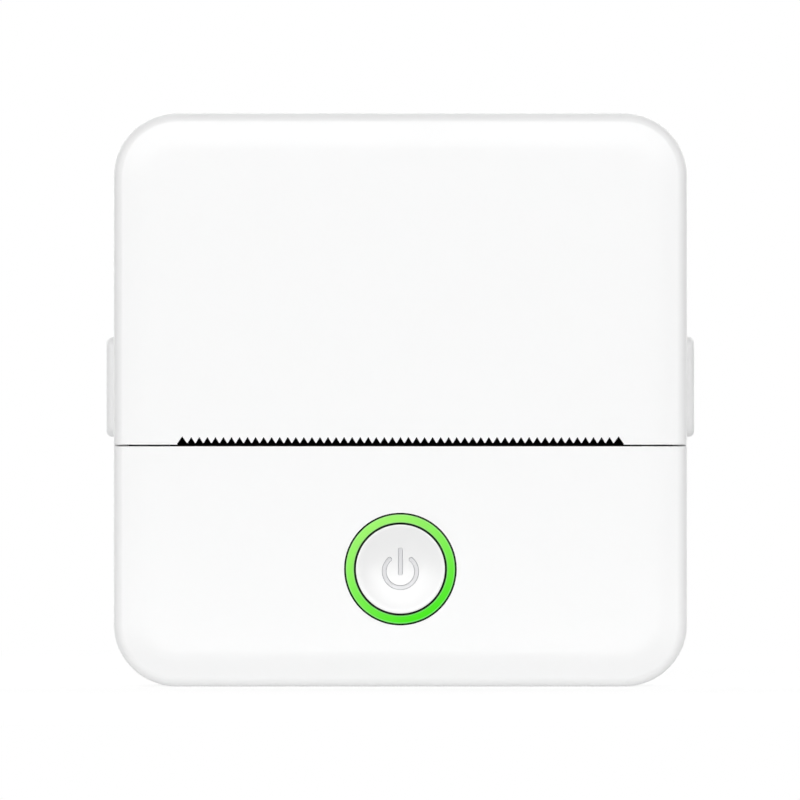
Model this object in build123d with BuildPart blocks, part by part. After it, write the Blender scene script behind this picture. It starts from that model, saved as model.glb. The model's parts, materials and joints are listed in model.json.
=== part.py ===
"""Portable photo printer: a pocket thermal printer with a hinged upper cover.

Millimetres. X runs to the right, Y runs to the back, Z runs up. The printer stands on its
bottom face, and the origin is the middle of that face.
"""

import os
from math import acos, asin, atan2, cos, pi, radians, sin, tan

from build123d import *

os.makedirs("parts", exist_ok=True)

# Casing
body_width = 80.0
body_height = 80.0
body_depth = 40.0
corner_radius = 8.75
wall = 2.0
crown_width = 4.2
crown_depth = 0.45
front_edge_radius = 1.4
crown_blend_radius = 12.0
back_edge_radius = 3.0
front_half_depth = 12.0
slit_height = 33.62

# Gaps and fits
seam_gap = 0.25
moving_gap = 0.3
running_fit = 0.05
seat_gap = 0.03

# Tear edge along the bottom of the upper cover
notch_pitch = 1.122
notch_count = 53
notch_depth = 0.83
notch_land = 0.12
end_notch_width = 1.4
end_notch_depth = 0.93
tear_recess = 0.24

# Cover hinge
barrel_radius = 2.5
hinge_pin_radius = 0.8
hinge_pin_length = 12.0
hinge_pin_in_ear = 2.5
ear_depth = 5.0
ear_height = 4.0

# Paper roll and its cradle
core_radius = 6.0
core_bore_radius = 3.75
roll_play = 0.8
roll_end_play = 0.5
roll_front_gap = 0.7
roll_top_gap = 4.0
bay_floor_rise = 5.8
cradle_wall = 1.2
cradle_back_rise = 10.0
pad_radius = 9.0

# Platen roller and the bracket that carries it in the cover
platen_radius = 4.5
platen_front_gap = 0.7
platen_rise = 0.7
shaft_radius = 1.5
bushing_wall = 1.0
bushing_flange = 0.5
arm_thickness = 1.5
arm_side_gap = 0.4
arm_eye_radius = 3.6
bracket_thickness = 1.5
bracket_height = 12.0
bracket_gap = 0.8
bracket_standoff = 2.5
bracket_screw_inset = 8.9
bracket_screw_rise = 7.0

# Chassis
plate_thickness = 1.5
plate_foot_drop = 19.2
mechanism_floor_drop = 8.7
guide_front_gap = 0.1
guide_thickness = 1.7
guide_top_rise = 0.05
guide_lip_rise = 1.2
guide_back_gap = 0.7
lug_radius = 2.3
lug_depth = 5.2
wing_thickness = 1.2
wing_tab_gap = 0.6
plate_throat = 1.3
plate_throat_rise = 2.4
board_gap = 0.5
rest_depth = 10.0

# Gear train
gear_module = 0.5
gear_width = 1.2
gear_layer_gap = 0.2
gear_side_room = 2.9
pressure_angle = radians(20)
backlash = 0.12
mesh_gap = 0.06
addendum_share = 0.8
dedendum_share = 1.15
platen_teeth = 16
idler_teeth = 20
reduction_small_teeth = 12
reduction_large_teeth = 24
pinion_teeth = 10
idler_to_reduction_angle = radians(-67)
reduction_to_pinion_angle = radians(-35)
gear_post_radius = 1.0
idler_collar_radius = 1.35
clip_radius = 1.7
clip_thickness = 0.25

# Motor
motor_radius = 7.5
motor_length = 11.0
motor_flange_thickness = 0.8
motor_ear_reach = 9.5
motor_ear_radius = 2.2
motor_ear_angle = radians(60)
motor_collar_radius = 2.4
motor_shaft_radius = 0.75
motor_shaft_sunk = 1.5
motor_screw_length = 3.0

# Print head
nip_gap = 0.1
head_side_inset = 1.5
head_top_drop = 2.2
ceramic_thickness = 0.7
ceramic_drop = 5.9
ceramic_rise = 3.1
heatsink_thickness = 1.8
head_pivot_drop = 5.7
head_pivot_radius = 1.0
head_barrel_radius = 2.2
head_spring_length = 3.0
head_spring_radius = 1.8
head_spring_x = 14.0

# Springs
spring_wire_radius = 0.2
spring_turns = 4
release_spring_radius = 1.7

# Main board and what it carries
board_thickness = 1.2
board_standoff = 5.0
board_floor_gap = 1.5
board_top_drop = 3.7
board_side_gap = 0.6
board_boss_gap = 1.3
board_screw_side_inset = 3.5
board_screw_end_inset = 3.0
standoff_radius = 2.2
usb_width = 8.94
usb_height = 3.26
usb_length = 7.35
usb_shell = 0.3
usb_cavity_depth = 6.2
usb_tongue_width = 6.69
usb_tongue_thickness = 0.7
usb_z = 17.0
usb_recess = 1.1
led_size = 2.0
led_height = 0.8
led_count = 8
led_inset = 1.0
connector_width = 22.0
connector_height = 2.6
connector_depth = 2.4
ribbon_width = 20.0
ribbon_thickness = 0.25
connector_drop = 1.3
sensor_x = 8.0
sensor_width = 4.0
sensor_depth = 2.4
sensor_height = 1.5
sensor_set_back = 0.45

# Battery
battery_corner_radius = 1.5
battery_width = 48.0
battery_top_gap = 1.0
battery_thickness = 8.6
battery_front_gap = 1.4
battery_stop_height = 10.0

# Power button and its light ring
button_z = 16.38
button_radius = 6.22
button_wall = 1.0
button_land = 0.62
button_dish_depth = 0.5
button_cap = 1.5
button_travel = 0.5
button_flange = 0.7
button_post_radius = 1.6
button_side_gap = 0.25
ring_width = 1.21
ring_side_gap = 0.18
ring_flange_lip = 1.31
ring_flange_thickness = 0.8
face_set_back = 0.05
ring_bevel = 0.15
button_rim_radius = 0.2
switch_size = 6.0
switch_height = 3.5
plunger_radius = 1.75
plunger_proud = 1.1
plunger_sunk = 1.0

# Release buttons on the two sides
tab_height = 14.0
tab_depth = 10.0
tab_rise = 8.2
tab_set_back = 9.0
tab_proud = 1.15
tab_corner_radius = 1.5
tab_edge_radius = 0.8
tab_slot_gap = 0.2
tab_travel = 0.8
tab_flange_thickness = 1.2
tab_flange_lip = 1.0
latch_arm_reach = 6.0
latch_arm_height = 3.0
latch_hook = 0.4
release_spring_set_back = 2.0
release_spring_rise = 3.6

# Screws
screw_radius = 0.95
screw_hole_gap = 0.15
screw_head_radius = 1.8
screw_head_height = 1.4
shell_screw_side_inset = 5.0
shell_screw_inset = 7.5
shell_screw_length = 15.0
shell_screw_sink = 3.0
shell_boss_radius = 2.4
shell_boss_length = 14.0
shell_collar_radius = 3.2
shell_collar_depth = 2.5
small_screw_length = 4.0
small_head_height = 1.0

# Places that follow from the sizes above
front_y = -body_depth / 2
back_y = body_depth / 2
seam_y = front_y + front_half_depth
cover_rear_y = seam_y - seam_gap / 2
shell_front_y = seam_y + seam_gap / 2
cover_bottom_z = slit_height + seam_gap / 2
panel_top_z = slit_height - seam_gap / 2
tear_tip_z = cover_bottom_z + tear_recess
inner_front_y = front_y + wall
inner_back_y = back_y - wall
inner_half_width = body_width / 2 - wall
hinge_y = seam_y
hinge_z = body_height - barrel_radius
hinge_relief_radius = barrel_radius + moving_gap
shell_top_front_y = hinge_y + hinge_relief_radius

# across the width, from the side walls to the middle
tab_flange_x = inner_half_width - moving_gap
tab_flange_inner_x = tab_flange_x - tab_flange_thickness
outer_layer_end_x = inner_half_width - gear_side_room
outer_layer_x = outer_layer_end_x - gear_width
inner_layer_x = outer_layer_x - gear_layer_gap - gear_width
plate_outer_x = inner_layer_x - moving_gap
plate_inner_x = plate_outer_x - plate_thickness
arm_outer_x = plate_inner_x - moving_gap
arm_inner_x = arm_outer_x - arm_thickness
paper_half = arm_inner_x - arm_side_gap
paper_width = 2 * paper_half
head_half_width = paper_half - head_side_inset
ear_inner_x = plate_outer_x + moving_gap
barrel_half = ear_inner_x - moving_gap

# platen and bracket in the cover
platen_y = inner_front_y + platen_front_gap + platen_radius
platen_z = slit_height + platen_rise + platen_radius
bracket_back_y = inner_front_y + bracket_standoff + bracket_thickness
bracket_bottom_z = platen_z + platen_radius + bracket_gap
bracket_screw_x = arm_inner_x - bracket_screw_inset
bracket_screw_z = bracket_bottom_z + bracket_screw_rise
bracket_screw_spots = [(-bracket_screw_x, bracket_screw_z), (bracket_screw_x, bracket_screw_z)]
bushing_radius = shaft_radius + bushing_wall

# roll bay: the roll is the largest that fits both its depth and its height
bay_floor_z = platen_z + bay_floor_rise
bay_back_y = inner_back_y - moving_gap - cradle_wall
bay_depth = bay_back_y - roll_play - bracket_back_y - roll_front_gap
bay_height = body_height - wall - roll_top_gap - bay_floor_z - moving_gap
roll_radius = min(bay_depth, bay_height) / 2
cradle_radius = roll_radius + roll_play
cradle_y = bay_back_y - cradle_radius
cradle_z = bay_floor_z + cradle_radius
roll_y = cradle_y
roll_z = cradle_z - roll_play + moving_gap

# print head and paper guide
head_face_y = platen_y + platen_radius + nip_gap
heatsink_front_y = head_face_y + ceramic_thickness
heatsink_back_y = heatsink_front_y + heatsink_thickness
head_top_z = bay_floor_z - head_top_drop
spring_wall_y = heatsink_back_y + head_spring_length
head_pivot_y = heatsink_front_y + head_barrel_radius
head_pivot_z = slit_height - head_pivot_drop
guide_top_z = panel_top_z + guide_top_rise
guide_front_y = inner_front_y + guide_front_gap
guide_back_y = head_face_y - guide_back_gap
guide_radius = platen_z - guide_top_z
mechanism_floor_z = slit_height - mechanism_floor_drop
plate_foot_z = slit_height - plate_foot_drop
sensor_front_y = shell_front_y + sensor_set_back

# release buttons
tab_y = seam_y + tab_set_back
tab_z = slit_height + tab_rise
release_spring_y = tab_y + release_spring_set_back
release_spring_z = tab_z + release_spring_rise
catch_height = tab_travel - moving_gap
wing_bottom_z = tab_z + tab_height / 2 + tab_flange_lip + wing_tab_gap

# shell screws
shell_screw_x = body_width / 2 - shell_screw_side_inset
shell_screw_high_z = body_height - shell_screw_inset
shell_screw_seat_y = back_y - shell_screw_sink
shell_boss_front_y = back_y - shell_boss_length

# power button and light ring
button_dish_radius = button_radius - button_land
ring_inner_radius = button_radius + button_side_gap
ring_outer_radius = ring_inner_radius + ring_width
ring_hole_radius = ring_outer_radius + ring_side_gap
ring_flange_radius = ring_hole_radius + ring_flange_lip
led_ring_radius = ring_flange_radius - led_inset

# main board and battery
board_front_y = inner_front_y + board_standoff
board_back_y = board_front_y + board_thickness
board_bottom_z = wall + board_floor_gap
board_top_z = slit_height - board_top_drop
board_shoulder_z = shell_screw_inset + shell_collar_radius + board_boss_gap
board_half_width = inner_half_width - board_side_gap
board_foot_half_width = shell_screw_x - shell_collar_radius - board_boss_gap
board_screw_x = board_foot_half_width - board_screw_side_inset
board_screw_low_z = board_bottom_z + board_screw_end_inset
board_screw_high_z = board_top_z - board_screw_end_inset
battery_height = mechanism_floor_z - wall - battery_top_gap
battery_back_y = board_back_y + battery_front_gap + battery_thickness


def facing(y):
    """Plane that faces the front, at depth y: local axes are X and Z, and it extrudes forward."""
    return Plane.XZ.offset(-y)


def across(x):
    """Plane across the printer at x: local axes are Y and Z, and it extrudes to the right."""
    return Plane.YZ.offset(x)


def outline(inset=0.0):
    """Rounded square seen from the front, drawn in by inset."""
    with Locations((0, body_height / 2)):
        RectangleRounded(body_width - 2 * inset, body_height - 2 * inset, corner_radius - inset)


def block(low, high, mode=Mode.ADD):
    """Box between two corners on a sketch plane."""
    with Locations(((low[0] + high[0]) / 2, (low[1] + high[1]) / 2)):
        Rectangle(abs(high[0] - low[0]), abs(high[1] - low[1]), mode=mode)


def disc(centre, radius, mode=Mode.ADD):
    """Circle on a sketch plane."""
    with Locations(centre):
        Circle(radius, mode=mode)


def polygon(points):
    """Closed straight-sided outline on a sketch plane."""
    Polygon(*points, align=None)


def save(builder, name):
    """Name the finished piece and write it."""
    builder.part.label = name
    export_step(builder.part, f"parts/{name}.step")


def tooth_half_angle(teeth, radius):
    """Half of the angle that one involute tooth fills at a radius."""
    pitch_radius = gear_module * teeth / 2
    base_radius = pitch_radius * cos(pressure_angle)
    at_pitch = pi / (2 * teeth) - backlash / (2 * pitch_radius)
    slope = acos(min(1.0, base_radius / radius))
    return at_pitch + (tan(pressure_angle) - pressure_angle) - (tan(slope) - slope)


def gear_face(teeth, phase, centre):
    """Face of one spur gear, with a tooth at the phase angle."""
    pitch_radius = gear_module * teeth / 2
    tip = pitch_radius + addendum_share * gear_module
    root = pitch_radius - dedendum_share * gear_module
    base = max(root, pitch_radius * cos(pressure_angle))
    radii = [root, base, pitch_radius, tip] if base > root else [root, pitch_radius, tip]
    points = []
    for tooth in range(teeth):
        middle = phase + 2 * pi * tooth / teeth
        flank = [(r, tooth_half_angle(teeth, r)) for r in radii]
        corners = [(r, middle - half) for r, half in flank]
        corners += [(r, middle + half) for r, half in reversed(flank)]
        points += [(centre[0] + r * cos(a), centre[1] + r * sin(a)) for r, a in corners]
    polygon(points)


def mesh_phase(direction, phase, teeth, next_teeth):
    """Phase of a gear whose gap meets the tooth of the gear before it."""
    share = (direction - phase) * teeth / (2 * pi)
    return direction + pi - (0.5 - share) * 2 * pi / next_teeth


def mesh_distance(teeth, next_teeth):
    """Distance between the centres of two gears in mesh."""
    return gear_module * (teeth + next_teeth) / 2 + mesh_gap


def step_from(centre, direction, distance):
    """Point at a distance from a centre."""
    return (centre[0] + distance * cos(direction), centre[1] + distance * sin(direction))


# Gear centres and phases, from the platen back to the motor. The idler lies in the line along
# which the platen leaves it when the cover opens.
platen_centre = (platen_y, platen_z)
platen_to_idler_angle = atan2(platen_y - hinge_y, hinge_z - platen_z)
idler_centre = step_from(platen_centre, platen_to_idler_angle, mesh_distance(platen_teeth, idler_teeth))
reduction_centre = step_from(
    idler_centre, idler_to_reduction_angle, mesh_distance(idler_teeth, reduction_small_teeth)
)
pinion_centre = step_from(
    reduction_centre, reduction_to_pinion_angle, mesh_distance(reduction_large_teeth, pinion_teeth)
)
platen_phase = 0.0
idler_phase = mesh_phase(platen_to_idler_angle, platen_phase, platen_teeth, idler_teeth)
reduction_phase = mesh_phase(idler_to_reduction_angle, idler_phase, idler_teeth, reduction_small_teeth)
pinion_phase = mesh_phase(
    reduction_to_pinion_angle, reduction_phase, reduction_large_teeth, pinion_teeth
)

# Front half of the casing, cut below into the upper cover and the front panel
with BuildPart() as front_form:
    with BuildSketch(facing(cover_rear_y)):
        outline()
    extrude(amount=cover_rear_y - front_y)
    front_face = front_form.faces().sort_by(Axis.Y)[0]
    chamfer(front_face.edges(), crown_width, crown_depth, reference=front_face)
    slope_end = front_y + crown_depth
    fillet(front_form.edges().filter_by_position(Axis.Y, slope_end, slope_end), front_edge_radius)
    fillet(front_form.edges().filter_by_position(Axis.Y, front_y, front_y), crown_blend_radius)
    with BuildSketch(facing(cover_rear_y)):
        outline(wall)
    extrude(amount=cover_rear_y - inner_front_y, mode=Mode.SUBTRACT)

# Upper cover
with BuildPart() as upper_cover:
    add(front_form.part)
    split(bisect_by=Plane.XY.offset(cover_bottom_z), keep=Keep.TOP)
    with BuildSketch(across(-barrel_half)):
        disc((hinge_y, hinge_z), barrel_radius)
    extrude(amount=2 * barrel_half)
    for side in (-1, 1):
        with BuildSketch(across(side * barrel_half)):
            disc((hinge_y, hinge_z), hinge_relief_radius)
        extrude(amount=side * (body_width / 2 - barrel_half), mode=Mode.SUBTRACT)
        with BuildSketch(across(side * barrel_half)):
            disc((hinge_y, hinge_z), hinge_pin_radius + running_fit)
        extrude(amount=-side * hinge_pin_length, mode=Mode.SUBTRACT)
    # bosses for the platen bracket
    with BuildSketch(facing(inner_front_y + bracket_standoff)):
        with Locations(*bracket_screw_spots):
            Circle(standoff_radius)
    extrude(amount=bracket_standoff)
    with BuildSketch(facing(inner_front_y + bracket_standoff)):
        with Locations(*bracket_screw_spots):
            Circle(screw_radius + seat_gap)
    extrude(amount=bracket_standoff + wall / 4, mode=Mode.SUBTRACT)
    # tear edge: a shallow recess, then the row of notches
    row_half = notch_pitch * (notch_count - 1) / 2
    end_notch_x = row_half + (notch_pitch + end_notch_width) / 2
    with BuildSketch(facing(inner_front_y)):
        block((-end_notch_x - end_notch_width / 2, cover_bottom_z - wall),
              (end_notch_x + end_notch_width / 2, tear_tip_z))
        for index in range(notch_count):
            x = index * notch_pitch - row_half
            half = (notch_pitch - notch_land) / 2
            polygon([(x - half, tear_tip_z), (x, tear_tip_z + notch_depth), (x + half, tear_tip_z)])
        for x in (-end_notch_x, end_notch_x):
            half = (end_notch_width - notch_land) / 2
            polygon([(x - half, tear_tip_z), (x, tear_tip_z + end_notch_depth), (x + half, tear_tip_z)])
    extrude(amount=wall, mode=Mode.SUBTRACT)
    # catches for the latch arms
    for side in (-1, 1):
        with BuildSketch(across(side * (inner_half_width - catch_height))):
            block((tab_y - tab_depth / 2 - latch_arm_reach, tab_z - latch_arm_height / 2),
                  (cover_rear_y, tab_z + latch_arm_height / 2))
        extrude(amount=side * catch_height)
save(upper_cover, "upper_cover")

# Front panel below the slit
with BuildPart() as front_panel:
    add(front_form.part)
    split(bisect_by=Plane.XY.offset(panel_top_z), keep=Keep.BOTTOM)
    with BuildSketch(facing(inner_front_y)):
        disc((0, button_z), ring_hole_radius)
    extrude(amount=wall, mode=Mode.SUBTRACT)
    # decks beside the paper guide
    with BuildSketch(facing(cover_rear_y)):
        for side in (-1, 1):
            block((side * (plate_outer_x + moving_gap), panel_top_z - guide_thickness),
                  (side * (inner_half_width + wall / 2), panel_top_z))
    extrude(amount=cover_rear_y - inner_front_y + wall / 4)
    # standoffs for the main board
    board_screw_spots = [(s * board_screw_x, z) for s in (-1, 1)
                         for z in (board_screw_low_z, board_screw_high_z)]
    with BuildSketch(facing(board_front_y)):
        with Locations(*board_screw_spots):
            Circle(standoff_radius)
    extrude(amount=board_standoff)
    with BuildSketch(facing(board_front_y)):
        with Locations(*board_screw_spots):
            Circle(screw_radius + seat_gap)
    extrude(amount=small_screw_length, mode=Mode.SUBTRACT)
    # long bosses that the lower shell screws bite into
    low_screw_spots = [(s * shell_screw_x, shell_screw_inset) for s in (-1, 1)]
    with BuildSketch(facing(shell_boss_front_y - seat_gap)):
        with Locations(*low_screw_spots):
            Circle(shell_boss_radius)
    extrude(amount=shell_boss_front_y - seat_gap - inner_front_y)
    with BuildSketch(facing(shell_boss_front_y)):
        with Locations(*low_screw_spots):
            Circle(screw_radius + seat_gap)
    extrude(amount=shell_boss_front_y - shell_screw_seat_y + shell_screw_length + moving_gap,
            mode=Mode.SUBTRACT)
    # mouth for the charging socket in the right side
    usb_y = board_front_y - usb_height / 2
    with BuildSketch(across(inner_half_width)):
        with Locations((usb_y, usb_z)):
            SlotOverall(usb_width + 2 * tab_slot_gap, usb_height + 2 * tab_slot_gap, rotation=90)
    extrude(amount=wall, mode=Mode.SUBTRACT)
save(front_panel, "front_panel")

# Ears that hold the hinge pins, trimmed to the outline of the casing
with BuildPart() as hinge_ears:
    for side in (-1, 1):
        with BuildSketch(across(side * ear_inner_x)):
            disc((hinge_y, hinge_z), barrel_radius)
            block((shell_front_y, hinge_z - ear_height), (shell_front_y + ear_depth, hinge_z))
        extrude(amount=side * (body_width / 2 - ear_inner_x))
    with BuildSketch(facing(back_y)):
        outline()
    extrude(amount=body_depth, mode=Mode.INTERSECT)

# Rear shell
shell_screw_spots = [(s * shell_screw_x, z) for s in (-1, 1) for z in (shell_screw_inset, shell_screw_high_z)]
with BuildPart() as rear_shell:
    with BuildSketch(facing(back_y)):
        outline()
    extrude(amount=back_y - shell_front_y)
    fillet(rear_shell.faces().sort_by(Axis.Y)[-1].edges(), back_edge_radius)
    with BuildSketch(facing(inner_back_y)):
        outline(wall)
    extrude(amount=inner_back_y - shell_front_y, mode=Mode.SUBTRACT)
    # room for the cover barrel and for the top of the cover as it swings up
    with BuildSketch(across(-body_width / 2)):
        block((shell_front_y - wall, hinge_z), (shell_top_front_y, body_height + wall))
        disc((hinge_y, hinge_z), hinge_relief_radius)
    extrude(amount=body_width, mode=Mode.SUBTRACT)
    add(hinge_ears.part)
    for side in (-1, 1):
        with BuildSketch(across(side * ear_inner_x)):
            disc((hinge_y, hinge_z), hinge_pin_radius + seat_gap)
        extrude(amount=side * (hinge_pin_in_ear + moving_gap), mode=Mode.SUBTRACT)
    # screw bosses, with their heads sunk in the back
    with BuildSketch(facing(inner_back_y)):
        with Locations(*shell_screw_spots):
            Circle(shell_boss_radius)
    extrude(amount=inner_back_y - shell_boss_front_y)
    with BuildSketch(facing(inner_back_y)):
        with Locations(*shell_screw_spots):
            Circle(shell_collar_radius)
    extrude(amount=shell_collar_depth)
    with BuildSketch(facing(back_y)):
        with Locations(*shell_screw_spots):
            Circle(screw_radius + screw_hole_gap)
    extrude(amount=back_y - shell_boss_front_y, mode=Mode.SUBTRACT)
    with BuildSketch(facing(back_y)):
        with Locations(*shell_screw_spots):
            Circle(screw_head_radius + tab_slot_gap)
    extrude(amount=shell_screw_sink, mode=Mode.SUBTRACT)
    # slots for the release buttons
    for side in (-1, 1):
        with BuildSketch(across(side * inner_half_width)):
            with Locations((tab_y, tab_z)):
                RectangleRounded(tab_depth + 2 * tab_slot_gap, tab_height + 2 * tab_slot_gap,
                                 tab_corner_radius + tab_slot_gap)
        extrude(amount=side * wall, mode=Mode.SUBTRACT)
    # rests under the chassis plates, and a rib behind the battery
    for side in (-1, 1):
        with BuildSketch(across(side * (plate_inner_x - moving_gap))):
            block((inner_back_y - rest_depth, wall / 2), (back_y - wall / 2, plate_foot_z))
        extrude(amount=side * (plate_thickness + 2 * moving_gap))
    with BuildSketch(across(-battery_width / 2)):
        block((battery_back_y + seat_gap, wall / 2),
              (battery_back_y + seat_gap + plate_thickness, wall + battery_stop_height))
    extrude(amount=battery_width)
save(rear_shell, "rear_shell")

# Hinge pins, fixed in the ears
with BuildPart() as hinge_pins:
    for side in (-1, 1):
        with BuildSketch(across(side * (ear_inner_x + hinge_pin_in_ear))):
            disc((hinge_y, hinge_z), hinge_pin_radius)
        extrude(amount=-side * hinge_pin_length)
save(hinge_pins, "hinge_pins")

# Platen bracket: an angle bar with an eyed arm at each end
with BuildPart() as platen_bracket:
    with BuildSketch(across(-arm_inner_x)):
        block((inner_front_y + bracket_standoff, bracket_bottom_z),
              (bracket_back_y, bracket_bottom_z + bracket_height))
        block((inner_front_y + moving_gap, bracket_bottom_z),
              (bracket_back_y, bracket_bottom_z + bracket_thickness))
    extrude(amount=2 * arm_inner_x)
    for side in (-1, 1):
        with BuildSketch(across(side * arm_inner_x)):
            disc(platen_centre, arm_eye_radius)
            block((inner_front_y + moving_gap, bracket_bottom_z),
                  (bracket_back_y, bracket_bottom_z + bracket_height))
            make_hull()
            disc(platen_centre, bushing_radius + seat_gap, mode=Mode.SUBTRACT)
        extrude(amount=side * arm_thickness)
    with BuildSketch(facing(bracket_back_y)):
        with Locations(*bracket_screw_spots):
            Circle(screw_radius + screw_hole_gap)
    extrude(amount=bracket_thickness, mode=Mode.SUBTRACT)
save(platen_bracket, "platen_bracket")

# Screws that hold the bracket in the cover
with BuildPart() as bracket_screws:
    with BuildSketch(facing(bracket_back_y)):
        with Locations(*bracket_screw_spots):
            Circle(screw_radius)
    extrude(amount=small_screw_length)
    with BuildSketch(facing(bracket_back_y + small_head_height)):
        with Locations(*bracket_screw_spots):
            Circle(screw_head_radius)
    extrude(amount=small_head_height)
save(bracket_screws, "bracket_screws")

# Flanged bushings that carry the platen shaft
with BuildPart() as platen_bushings:
    for side in (-1, 1):
        with BuildSketch(across(side * arm_inner_x)):
            disc(platen_centre, bushing_radius)
            disc(platen_centre, shaft_radius + running_fit, mode=Mode.SUBTRACT)
        extrude(amount=side * (arm_thickness + bushing_flange))
        with BuildSketch(across(side * arm_outer_x)):
            disc(platen_centre, bushing_radius + bushing_flange)
            disc(platen_centre, shaft_radius + running_fit, mode=Mode.SUBTRACT)
        extrude(amount=side * bushing_flange)
save(platen_bushings, "platen_bushings")

# Platen shaft, rubber roller and gear
with BuildPart() as platen_shaft:
    with BuildSketch(across(-(arm_outer_x + bushing_flange + wall / 2))):
        disc(platen_centre, shaft_radius)
    extrude(amount=arm_outer_x + bushing_flange + wall / 2 + outer_layer_end_x + moving_gap)
save(platen_shaft, "platen_shaft")

with BuildPart() as platen_roller:
    with BuildSketch(across(-paper_half)):
        disc(platen_centre, platen_radius)
        disc(platen_centre, shaft_radius + seat_gap, mode=Mode.SUBTRACT)
    extrude(amount=paper_width)
save(platen_roller, "platen_roller")

with BuildPart() as platen_gear:
    with BuildSketch(across(outer_layer_x)):
        gear_face(platen_teeth, platen_phase, platen_centre)
        disc(platen_centre, shaft_radius + seat_gap, mode=Mode.SUBTRACT)
    extrude(amount=gear_width)
    with BuildSketch(across(outer_layer_x)):
        disc(platen_centre, bushing_radius)
        disc(platen_centre, shaft_radius + seat_gap, mode=Mode.SUBTRACT)
    extrude(amount=-(outer_layer_x - arm_outer_x - bushing_flange - moving_gap))
save(platen_gear, "platen_gear")

# Chassis: two side plates with the roll cradle, the spring wall and the paper guide between them
cradle_outer = cradle_radius + cradle_wall
lug_back_y = shell_boss_front_y - seat_gap
motor_ears = [
    step_from(pinion_centre, motor_ear_angle + turn, motor_ear_reach) for turn in (0, pi)
]
with BuildPart() as chassis:
    for side in (-1, 1):
        with BuildSketch(across(side * plate_inner_x)):
            polygon([
                (guide_front_y, board_top_z + board_gap),
                (guide_front_y, guide_top_z),
                (guide_back_y - plate_throat, guide_top_z),
                (shell_front_y, guide_top_z + plate_throat_rise),
                (shell_front_y, cradle_z),
                (cradle_y + cradle_outer, cradle_z),
                (cradle_y + cradle_outer, plate_foot_z),
                (battery_back_y + board_gap, plate_foot_z),
                (battery_back_y + board_gap, mechanism_floor_z),
                (board_back_y + connector_depth + board_gap, mechanism_floor_z),
                (board_back_y + board_gap, board_top_z + board_gap),
            ])
            disc((cradle_y, cradle_z), cradle_outer)
            block((shell_front_y - cradle_outer, cradle_z - cradle_outer),
                  (shell_front_y, cradle_z + cradle_outer), mode=Mode.SUBTRACT)
            block((lug_back_y - lug_depth, cradle_z), (lug_back_y, shell_screw_high_z + lug_radius))
        extrude(amount=side * plate_thickness)
        # pads that keep the roll in the middle
        with BuildSketch(across(side * plate_inner_x)):
            disc((roll_y, roll_z), pad_radius)
        extrude(amount=-side * (plate_inner_x - paper_half - roll_end_play))
        # lugs for the upper shell screws
        with BuildSketch(facing(lug_back_y)):
            disc((side * shell_screw_x, shell_screw_high_z), lug_radius)
            block((side * (plate_inner_x + plate_thickness / 2), shell_screw_high_z - lug_radius),
                  (side * shell_screw_x, shell_screw_high_z + lug_radius))
            disc((side * shell_screw_x, shell_screw_high_z), screw_radius + seat_gap, mode=Mode.SUBTRACT)
        extrude(amount=lug_depth)
        # wings that close the gap beside the roll bay
        with BuildSketch(facing(shell_front_y + board_gap + wing_thickness)):
            block((side * (plate_inner_x + plate_thickness / 2), wing_bottom_z),
                  (side * (inner_half_width - moving_gap), shell_screw_high_z))
        extrude(amount=wing_thickness)
    # cradle wall and bay floor
    with BuildSketch(across(-plate_inner_x)):
        disc((cradle_y, cradle_z), cradle_outer)
        disc((cradle_y, cradle_z), cradle_radius, mode=Mode.SUBTRACT)
        block((cradle_y - cradle_outer, cradle_z - cradle_outer), (cradle_y, cradle_z + cradle_outer),
              mode=Mode.SUBTRACT)
        block((cradle_y, cradle_z + cradle_back_rise), (cradle_y + cradle_outer, cradle_z + cradle_outer),
              mode=Mode.SUBTRACT)
        block((shell_front_y, bay_floor_z - cradle_wall), (cradle_y, bay_floor_z))
        block((spring_wall_y, mechanism_floor_z), (spring_wall_y + cradle_wall, bay_floor_z))
    extrude(amount=2 * plate_inner_x)
    # paper guide, hollowed round the platen
    with BuildSketch(across(-plate_inner_x)):
        block((guide_front_y, guide_top_z - guide_thickness), (guide_back_y, guide_top_z))
        block((platen_y, guide_top_z - guide_thickness), (guide_back_y, guide_top_z + guide_lip_rise))
        disc(platen_centre, guide_radius, mode=Mode.SUBTRACT)
    extrude(amount=2 * plate_inner_x)
    # pocket for the paper sensor
    with BuildSketch(Plane.XY.offset(bay_floor_z)):
        block((sensor_x - sensor_width / 2 - seat_gap, sensor_front_y - seat_gap),
              (sensor_x + sensor_width / 2 + seat_gap, sensor_front_y + sensor_depth + seat_gap))
    extrude(amount=-cradle_wall, mode=Mode.SUBTRACT)
    # holes for the head pivot, the gear posts and the motor
    with BuildSketch(across(-plate_outer_x)):
        disc((head_pivot_y, head_pivot_z), head_pivot_radius + seat_gap)
    extrude(amount=2 * plate_outer_x, mode=Mode.SUBTRACT)
    with BuildSketch(across(plate_inner_x)):
        for centre in (idler_centre, reduction_centre):
            disc(centre, gear_post_radius + seat_gap)
        disc(pinion_centre, motor_collar_radius + tab_slot_gap)
        for centre in motor_ears:
            disc(centre, screw_radius + screw_hole_gap)
    extrude(amount=plate_thickness, mode=Mode.SUBTRACT)
save(chassis, "chassis")

# Gear train
with BuildPart() as idler_gear:
    with BuildSketch(across(outer_layer_x)):
        gear_face(idler_teeth, idler_phase, idler_centre)
        disc(idler_centre, gear_post_radius + running_fit, mode=Mode.SUBTRACT)
    extrude(amount=gear_width)
save(idler_gear, "idler_gear")

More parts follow.
